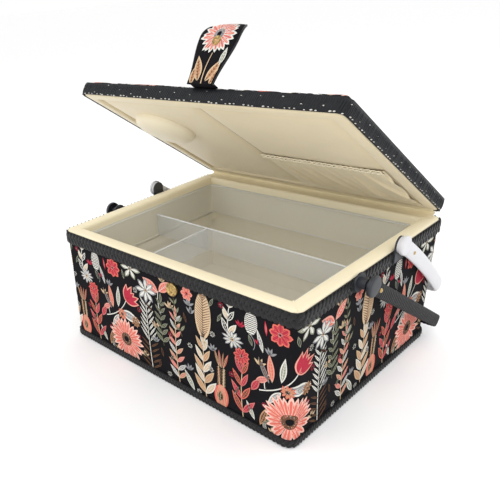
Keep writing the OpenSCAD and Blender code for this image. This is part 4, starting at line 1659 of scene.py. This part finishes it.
# ---------------------------------------------------------------- the strap
@dataclass
class Strap:
    """The printed closing strap: a straight run, then a curl with a rounded tip."""

    m: Measures
    thick: float = 2.8 * MM
    curl_r: float = 18.0 * MM
    curl_a: float = math.radians(86.0)
    run: float = 42.0 * MM
    tip: float = 26.0 * MM

    def __post_init__(self) -> None:
        """Works out the strap's directions, widths and length."""
        self.origin = self.m.pivot("strap_fold")
        low = math.radians(-self.m.joints["strap_fold"]["range_deg"][0])
        rise = low - math.pi / 2
        heading = math.pi - rise - self.m.lid_open
        self.along = np.array([0.0, math.cos(heading), math.sin(heading)])
        self.face = np.array([0.0, -math.sin(heading), math.cos(heading)])
        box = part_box("strap_flap")
        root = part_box("strap_root")
        self.wide = (box[1].x - box[0].x) / 2
        self.half = (root[1].x - root[0].x) / 2
        self.length = self.run + self.curl_r * self.curl_a

    def centre(self, s: Array) -> tuple[Array, Array, Array]:
        """Returns: points on the strap's middle, with the directions along it and out of its snap side."""
        s = np.asarray(s, float)
        bent = np.clip((s - self.run) / self.curl_r, 0.0, None)
        y = np.minimum(s, self.run) + self.curl_r * np.sin(bent)
        z = -self.curl_r * (1.0 - np.cos(bent))
        middle = self.origin + y[:, None] * self.along + z[:, None] * self.face
        ahead = np.cos(bent)[:, None] * self.along - np.sin(bent)[:, None] * self.face
        out = np.sin(bent)[:, None] * self.along + np.cos(bent)[:, None] * self.face
        return middle, ahead, out

    def width(self, s: Array) -> Array:
        """Returns: half the width of the strap, rounded at its tip."""
        share = np.clip(s / self.run, 0.0, 1.0)
        full = self.half + (self.wide - self.half) * share * share * (3 - 2 * share)
        left = np.clip((self.length - s) / self.tip, 0.0, 1.0)
        return full * np.sqrt(np.maximum(1.0 - (1.0 - left) ** 2, 1e-6))

    def build(self) -> None:
        """Builds and dresses the strap."""
        start = -0.0010
        curl = np.linspace(self.run, self.length - 0.0001, 60)
        s = np.concatenate([np.linspace(start, self.run, 40), curl[1:]])
        middle, _, out = self.centre(s)
        frames = np.stack([tiled(AXIS_X, len(middle)), out], 1)
        half = np.maximum(self.width(s), LEAST_HALF)
        section = np.stack([pill(2 * h, min(self.thick, 2.4 * h), 32, 5.0) for h in half])
        shell = Shell()
        sweep(shell, middle, frames, section, closed=False)
        body = shell.build("strap_cloth", [Look.GROUND.value])
        placed(body, "strap", "printed_cloth", "strap_flap")
        self._piping(s)
        for front in (True, False):
            self._print(front)
        self._snap()
        self._root()

    def _piping(self, s: Array) -> None:
        """Makes the stitched edge round the strap."""
        shell = Shell()
        middle, _, out = self.centre(s)
        edge = np.maximum(self.width(s), LEAST_HALF)[:, None] * AXIS_X
        path = np.concatenate([middle - edge, (middle + edge)[::-1]])
        outs = np.concatenate([out, out[::-1]])
        frames = np.stack([np.cross(heading_of(path), outs), outs], 1)
        sweep(shell, path, frames, circle(1.0, 10) * np.array([0.0007, 0.0010]), closed=False)
        placed(shell.build("strap_edge", [Look.BRAID.value]), "strap", "printed_cloth")

    def _print(self, front: bool) -> None:
        """Lays the large flower and leaves on one face."""
        c = Canvas(seed=12 if front else 13)
        shift = 0.0 if front else 1.5
        c.flower(0 + 44j, 18.5 + shift, 22, 4.8, Ink.CORAL, Ink.WHITE, Ink.SMOKE, 5.0, blunt=0.9)
        for k in range(22):
            ray = turned(np.array([7.5, 14.0]) + 0j, 360.0 * k / 22, 44j)
            c.line(ray, 1.3, 0.7, Ink.ROSE if k % 2 else Ink.BLUSH, 7.5)
        c.curve(2 - 2j, 1 + 27j, 1.5, 1.0, Ink.BONE)
        leaves = ((-3 + 1j, 112, 25, 8), (5 + 1j, 66, 22, 8), (-9 - 2j, 100, 16, 6), (11 - 2j, 78, 15, 6))
        for at, angle, length, wide in leaves:
            c.leaf(at, angle, length, wide, Ink.BONE, Ink.TAN if front else Ink.OLIVE, Ink.GROUND)
        c.leaf(13 + 16j, 84, 16, 5, Ink.WHITE, Ink.SAGE)
        sign = 1.0 if front else -1.0

        def place(points: Array) -> Array:
            """Returns: printed points laid on this face of the strap."""
            s = np.clip(points[:, 1] * MM, -0.0008, self.length - 0.0012)
            middle, _, out = self.centre(s)
            limit = np.maximum(self.width(s) - 0.0011, 0.0001)
            x = np.clip(points[:, 0] * MM, -limit, limit)
            bulge = self.thick / 2 * (1 - 0.12 * (np.abs(x) / self.wide) ** 5) + lift(points[:, 2])
            return middle + out * (sign * bulge)[:, None] + x[:, None] * AXIS_X

        name = "strap_print_front" if front else "strap_print_back"
        placed(lay_canvas(c, name, [(0.0, 0.0)], place), "strap", "printed_cloth")

    def _snap(self) -> None:
        """Makes the snap's other half near the tip, and its cap on the outer side."""
        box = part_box("strap_stud")
        at = np.array([(low + high) / 2 for low, high in zip(*box)])
        radius = (box[1].x - box[0].x) / 2
        base = at - self.face * 0.0004
        ring = [
            (1.0, -0.0006), (1.0, 0.0004), (0.93, 0.0009), (0.72, 0.0010), (0.62, 0.0004), (0.44, 0.0003),
            (0.38, 0.0008), (0.28, 0.0008), (0.22, 0.0001), (0.0, -0.0001),
        ]
        shell = Shell()
        lathe(shell, base, self.face, [(radius * share, high) for share, high in ring])
        cap_r = radius * 1.25
        cap = [(cap_r, 0.0), (cap_r, 0.0006), (cap_r * 0.9, 0.0012), (cap_r * 0.5, 0.0016), (0.0, 0.0017)]
        lathe(shell, at - self.face * (self.thick + 0.0009), -self.face, cap)
        placed(shell.build("strap_snap", [Look.BRASS.value]), "strap", "brass", "strap_stud")

    def _root(self) -> None:
        """Makes the sewn root that curves from the lid to the strap, fixed where it is drawn."""
        m = self.m
        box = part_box("strap_root")
        front = np.array([0.0, -0.1270, 0.0152])
        back = np.array([0.0, -0.1215, 0.0148])
        ends = m.lid(np.stack([back, front]))
        up, _, _ = self.centre(np.array([0.0, 0.006]))
        path = np.stack([ends[0], ends[1], up[0] - self.along * 0.0004, up[1]])
        path[:, 0] = (box[0].x + box[1].x) / 2
        dense = eased(path, np.linspace(0.0, len(path) - 1.0, 22), 6)
        side = tiled(AXIS_X, len(dense))
        frames = np.stack([side, np.cross(side, heading_of(dense))], 1)
        shell = Shell()
        sweep(shell, dense, frames, pill(2 * self.half * 0.985, 0.0024, 28, 5.0), closed=False)
        root = shell.build("strap_root_cloth", [Look.GROUND.value])
        tuple(up[1])
        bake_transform(root)
        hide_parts("strap_root")


# ---------------------------------------------------------------- the handles
@dataclass
class Bail:
    """A U-shaped carrying handle: two arms, a grip across the back, caps and rivets."""

    m: Measures
    joint: str
    body: str
    handle: str
    caps: str
    rivets: str
    arm_wide: float = 15.0 * MM
    bend: float = 9.0 * MM
    cap_r: float = 9.2 * MM
    rivet_at: float = 24.0 * MM
    rivet_r: float = 1.7 * MM

    def __post_init__(self) -> None:
        """Reads the handle's folded angle and the places of its faces."""
        self.origin = self.m.pivot(self.joint)
        self.fold = math.radians(self.m.joints[self.joint]["range_deg"][1] - 90.0)
        self.inner = self._inside()
        self.cap_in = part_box(self.handle)[1].x
        self.cap_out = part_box(self.caps)[1].x

    def _inside(self) -> float:
        """Returns: how far out the inner face of an arm is."""
        points = vertices(self.handle)
        near = np.abs(points[:, 1] - self.origin[1]) < 0.006
        return float(np.abs(points[near, 0]).min())

    def world(self, points: Array) -> Array:
        """Returns: points drawn with +Y along the arms, folded behind the box."""
        c, s = math.cos(self.fold), math.sin(self.fold)
        y, z = points[..., 1], points[..., 2]
        return np.stack([points[..., 0], self.origin[1] + y * c + z * s, self.origin[2] - y * s + z * c], -1)

    def reach(self) -> float:
        """Returns: the largest distance of the handle from its pivot, along the arms."""
        points = vertices(self.handle)
        c, s = math.cos(self.fold), math.sin(self.fold)
        y, z = points[:, 1] - self.origin[1], points[:, 2] - self.origin[2]
        return float((y * c - z * s).max())

    def u_path(self, x: float, far: float, bend: float, step: float, bow: float) -> tuple[Array, Array]:
        """Makes the middle line of the handle.

        Args:
            x: half the distance between the arms.
            far: how far the grip is from the pivot.
            bend: the radius of the two corners.
            step: the distance between points.
            bow: how far the arms bulge off their plane.

        Returns:
            Points, and the share of the way from arm (0) to grip (1) for each.
        """
        arm = np.arange(0.0, far - bend, step)
        arc = np.linspace(0.0, math.pi / 2, max(8, int(bend * 1.57 / step)))
        half = np.arange(0.0, x - bend, step)[::-1]
        xs = np.concatenate([np.full(len(arm), x), x - bend + bend * np.cos(arc), half])
        ys = np.concatenate([arm, far - bend + bend * np.sin(arc), np.full(len(half), far)])
        zs = bow * 4 * (ys / far) * (1 - ys / far)
        share = np.concatenate([np.zeros(len(arm)), np.sin(arc) ** 2, np.ones(len(half))])
        right = np.stack([xs, ys, zs], -1)
        left = right[:-1][::-1] * np.array([-1.0, 1.0, 1.0])
        return np.concatenate([right, left]), np.concatenate([share, share[:-1][::-1]])

    def frames(self, path: Array) -> Array:
        """Returns: for each point the axis off the handle's plane and the one across the bar."""
        off = tiled(AXIS_Z, len(path))
        across = np.cross(off, heading_of(path))
        across /= np.linalg.norm(across, axis=1)[:, None]
        return np.stack([off, across], 1)

    def disc(self, shell: Shell, side: int, radius: float, start: float, end: float) -> None:
        """Adds a round cap over the pivot.

        Args:
            shell: receives the faces.
            side: -1 for the left arm or 1 for the right one.
            radius: the cap's radius.
            start: how far out its inner face is.
            end: how far out its outer face is.
        """
        deep = end - start
        shares = [(1.0, 0.3), (1.0, 0.7), (0.95, 0.93), (0.86, 1.0), (0.5, 1.02), (0.0, 1.03)]
        profile = [(radius * 0.97, -0.0004), *((radius * a, deep * b) for a, b in shares)]
        at = self.world(np.array([side * start, 0.0, 0.0]))
        lathe(shell, at, np.array([side, 0.0, 0.0]), profile)

    def rivet(self, shell: Shell, side: int, far: float, off: float, face: float, radius: float) -> None:
        """Adds a small domed rivet on the outside of an arm.

        Args:
            shell: receives the faces.
            side: -1 for the left arm or 1 for the right one.
            far: how far it is from the pivot.
            off: how far it is off the handle's plane.
            face: how far out the face under it is.
            radius: the rivet's radius.
        """
        at = self.world(np.array([side * face, far, off]))
        dome = [(1.0, -0.0005), (1.0, 0.0002), (0.8, 0.0007), (0.3, 0.0009), (0.0, 0.0009)]
        lathe(shell, at, np.array([side, 0.0, 0.0]), [(radius * share, high) for share, high in dome])

    def turned_frames(self, path: Array) -> Array:
        """Returns: the section axes along a path, turned to the folded angle."""
        c, s = math.cos(self.fold), math.sin(self.fold)
        axes = self.frames(path)
        y, z = axes[..., 1], axes[..., 2]
        return np.stack([axes[..., 0], y * c + z * s, -y * s + z * c], -1)

    def fittings(self, look: Look, slot: str, start: float, off: float, face: float) -> None:
        """Makes both end caps and both rivets.

        Args:
            look: the caps' finish.
            slot: the caps' material slot.
            start: how far out the inner face of a cap is.
            off: how far a rivet is off the handle's plane.
            face: how far out the face under a rivet is.
        """
        caps, rivets = Shell(), Shell()
        for side in (-1, 1):
            self.disc(caps, side, self.cap_r, start, self.cap_out)
            self.rivet(rivets, side, self.rivet_at, off, face, self.rivet_r)
        placed(caps.build(self.handle + "_caps", [look.value]), self.body, slot, self.caps)
        placed(rivets.build(self.handle + "_rivets", [Look.BRASS.value]), self.body, "brass", self.rivets)


@dataclass
class SmoothBail(Bail):
    """The white moulded handle."""

    grip_r: float = 6.5 * MM
    bow: float = 3.0 * MM
    disc_r: float = 8.0 * MM

    def build(self) -> None:
        """Builds and dresses the handle."""
        far = self.reach() - self.grip_r
        thick = self.cap_out - self.inner - 0.0006
        path, share = self.u_path(self.inner + thick / 2, far, self.bend, 0.0015, self.bow)
        flat, grip = pill(self.arm_wide, thick, 28, 2.6), circle(self.grip_r, 28)
        sections = np.stack([flat * (1 - t) + grip * t for t in share])
        shell = Shell()
        sweep(shell, self.world(path), self.turned_frames(path), sections, closed=False)
        for side in (-1, 1):
            self.disc(shell, side, self.disc_r, self.inner + 0.0002, self.cap_out - 0.0004)
        placed(shell.build(self.handle + "_bar", [Look.WHITE.value]), self.body, "white_plastic", self.handle)
        self.fittings(Look.WHITE, "white_plastic", self.cap_out - 0.0030, 1.5 * MM, self.inner + thick)


@dataclass
class WovenBail(Bail):
    """The black corded handle."""

    arm_wide: float = 13.4 * MM
    bend: float = 11.3 * MM
    cap_r: float = 9.6 * MM
    rivet_at: float = 19.0 * MM
    rivet_r: float = 2.1 * MM

    def build(self) -> None:
        """Builds and dresses the handle."""
        thick = self.cap_in - self.inner
        far = self.reach() - thick / 2
        path, _ = self.u_path(self.inner + thick / 2, far, self.bend, 0.0006, 0.0)
        steps = np.concatenate([[0.0], np.cumsum(np.linalg.norm(np.diff(path, axis=0), axis=1))])
        count = 22
        base = pill(self.arm_wide, thick * 0.93, count, 3.4)
        around = np.linspace(0.0, TAU, count, endpoint=False)
        rough = np.random.default_rng(5).normal(0.0, 0.010, (len(path), count))
        turn = TAU * steps[:, None] / WEAVE_PITCH
        twill = np.sin(turn + around[None, :] * 2)
        cross = np.sin(turn - around[None, :] * 2)
        weave = np.sign(twill) * np.abs(twill) ** 0.6 * np.abs(cross) ** 0.4
        scale = np.stack([0.985 + 0.03 * weave + rough, 0.94 + 0.12 * weave + rough], -1)
        shell = Shell()
        sweep(shell, self.world(path), self.turned_frames(path), base * scale, closed=False)
        placed(shell.build(self.handle + "_cord", [Look.WRAP.value]), self.body, "black_braid", self.handle)
        self.fittings(Look.CHARCOAL, "charcoal_plastic", self.cap_in - 0.0010, 0.0, self.cap_in)


# ---------------------------------------------------------------- the tray
@dataclass
class Tray:
    """The clear lift-out tray."""

    m: Measures

    def build(self) -> None:
        """Dresses the tray and its dividers."""
        painted(["tray_shell", "divider_long", "divider_short"], Look.CLEAR)
        low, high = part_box("tray_shell")
        bead = 0.0009
        shell = Shell()
        for inset, drop in ((0.0006, 0.0002), (0.0046, 0.0), (0.0050, high.z - low.z - 0.0022)):
            ring = RoundedRect(high.x, high.y, 9.5 * MM).ring(inset)
            path = raised(ring, high.z - drop)
            ahead = np.roll(path, -1, axis=0) - np.roll(path, 1, axis=0)
            ahead /= np.linalg.norm(ahead, axis=1)[:, None]
            up = tiled(AXIS_Z, len(path))
            sweep(shell, path, np.stack([np.cross(ahead, up), up], 1), circle(bead / 2, 8), closed=True)
        for node in ("divider_long", "divider_short"):
            a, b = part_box(node)
            middle = np.array([(a.x + b.x) / 2, (a.y + b.y) / 2, b.z])
            axis = 0 if b.x - a.x > b.y - a.y else 1
            reach = (b[axis] - a[axis]) / 2 - 0.0004
            path = np.stack([middle] * 8)
            path[:, axis] += np.linspace(-reach, reach, 8)
            side = AXIS_Y if axis == 0 else AXIS_X
            frames = np.broadcast_to(np.stack([side, AXIS_Z]), (8, 2, 3))
            sweep(shell, path, frames, circle(bead, 10), closed=False)
        placed(shell.build("tray_edge", [Look.CLEAR_EDGE.value]), "tray", "clear_plastic")


# ---------------------------------------------------------------- studio
@dataclass
class Studio:
    """Camera, lights, world and floor."""

    place: Colour = (0.35512, -0.46306, 0.36555)
    right: Colour = (0.64782, 0.75518, -0.10015)
    up: Colour = (-0.29005, 0.36607, 0.88423)
    forward: Colour = (-0.70441, 0.54377, -0.45619)
    lens: float = 40.86
    shift: tuple[float, float] = (0.2834, 0.0789)
    aim: Colour = (0.0, 0.0, 0.12)
    floor_half: float = 60.0

    def camera(self) -> None:
        """Makes the camera first of all."""
        data = bpy.data.cameras.new("view")
        data.lens, data.sensor_width = self.lens, 36.0
        data.shift_x, data.shift_y = self.shift
        data.clip_start, data.clip_end = 0.01, 30.0
        obj = bpy.data.objects.new("view", data)
        bpy.context.scene.collection.objects.link(obj)
        turn = Matrix((self.right, self.up, tuple(-v for v in self.forward))).transposed().to_4x4()
        obj.matrix_world = Matrix.Translation(self.place) @ turn.normalized()
        bpy.context.scene.camera = obj

    def _softbox(self, name: str, at: Colour, size: float, watts: float) -> None:
        """Adds a square area light aimed at the box.

        Args:
            name: the light's name.
            at: its place.
            size: the length of its side.
            watts: its power.
        """
        data = bpy.data.lights.new(name, "AREA")
        data.size, data.energy = size, watts
        obj = bpy.data.objects.new(name, data)
        bpy.context.scene.collection.objects.link(obj)
        obj.location = at
        aim = Vector(self.aim) - Vector(at)
        obj.rotation_mode = "QUATERNION"
        obj.rotation_quaternion = aim.to_track_quat("-Z", "Y")

    def dress(self) -> None:
        """Adds the floor, the lights and the world."""
        world = bpy.data.worlds.new("studio")
        world.use_nodes = True
        sky = world.node_tree.nodes["Background"]
        sky.inputs["Color"].default_value = (1.0, 1.0, 1.0, 1.0)
        sky.inputs["Strength"].default_value = 1.0
        bpy.context.scene.world = world
        self._softbox("key", (0.9, -1.3, 1.5), 1.1, 12.0)
        self._softbox("fill", (-1.2, -1.1, 0.9), 1.2, 3.0)
        self._softbox("back", (0.3, 1.2, 1.4), 1.2, 5.0)
        shell = Shell()
        s = self.floor_half
        square = np.array([(-s, -s, 0.0), (s, -s, 0.0), (s, s, 0.0), (-s, s, 0.0)])
        shell.add(square - [0, 0, 2e-5], [(0, 1, 2, 3)])
        white = Cloth("floor_white", (0.99, 0.99, 0.99), 1.0, 0.0, 900.0, 0.0)
        floor = shell.build("floor", [white], smooth=False)
        scene = bpy.context.scene
        scene.view_settings.view_transform = "Standard"
        scene.view_settings.look = "None"
        scene.view_settings.exposure = 0.0


def main() -> None:
    """Builds the scene in order."""
    logging.basicConfig(level=logging.INFO, format="%(name)s: %(message)s")
    measures = Measures.read()
    studio = Studio()
    studio.camera()
    garden = Garden()
    LOG.info("print: %d faces in one repeat", len(garden.canvas.shell.faces))
    Case(measures).build(garden)
    Lid(measures).build(garden)
    Strap(measures).build()
    Tray(measures).build()
    for kind, name in ((SmoothBail, "smooth"), (WovenBail, "woven")):
        parts = [name + end for end in ("_swing", "_bail", "_handle", "_caps", "_rivets")]
        kind(measures, *parts).build()
    studio.dress()


if __name__ == "__main__":
    main()
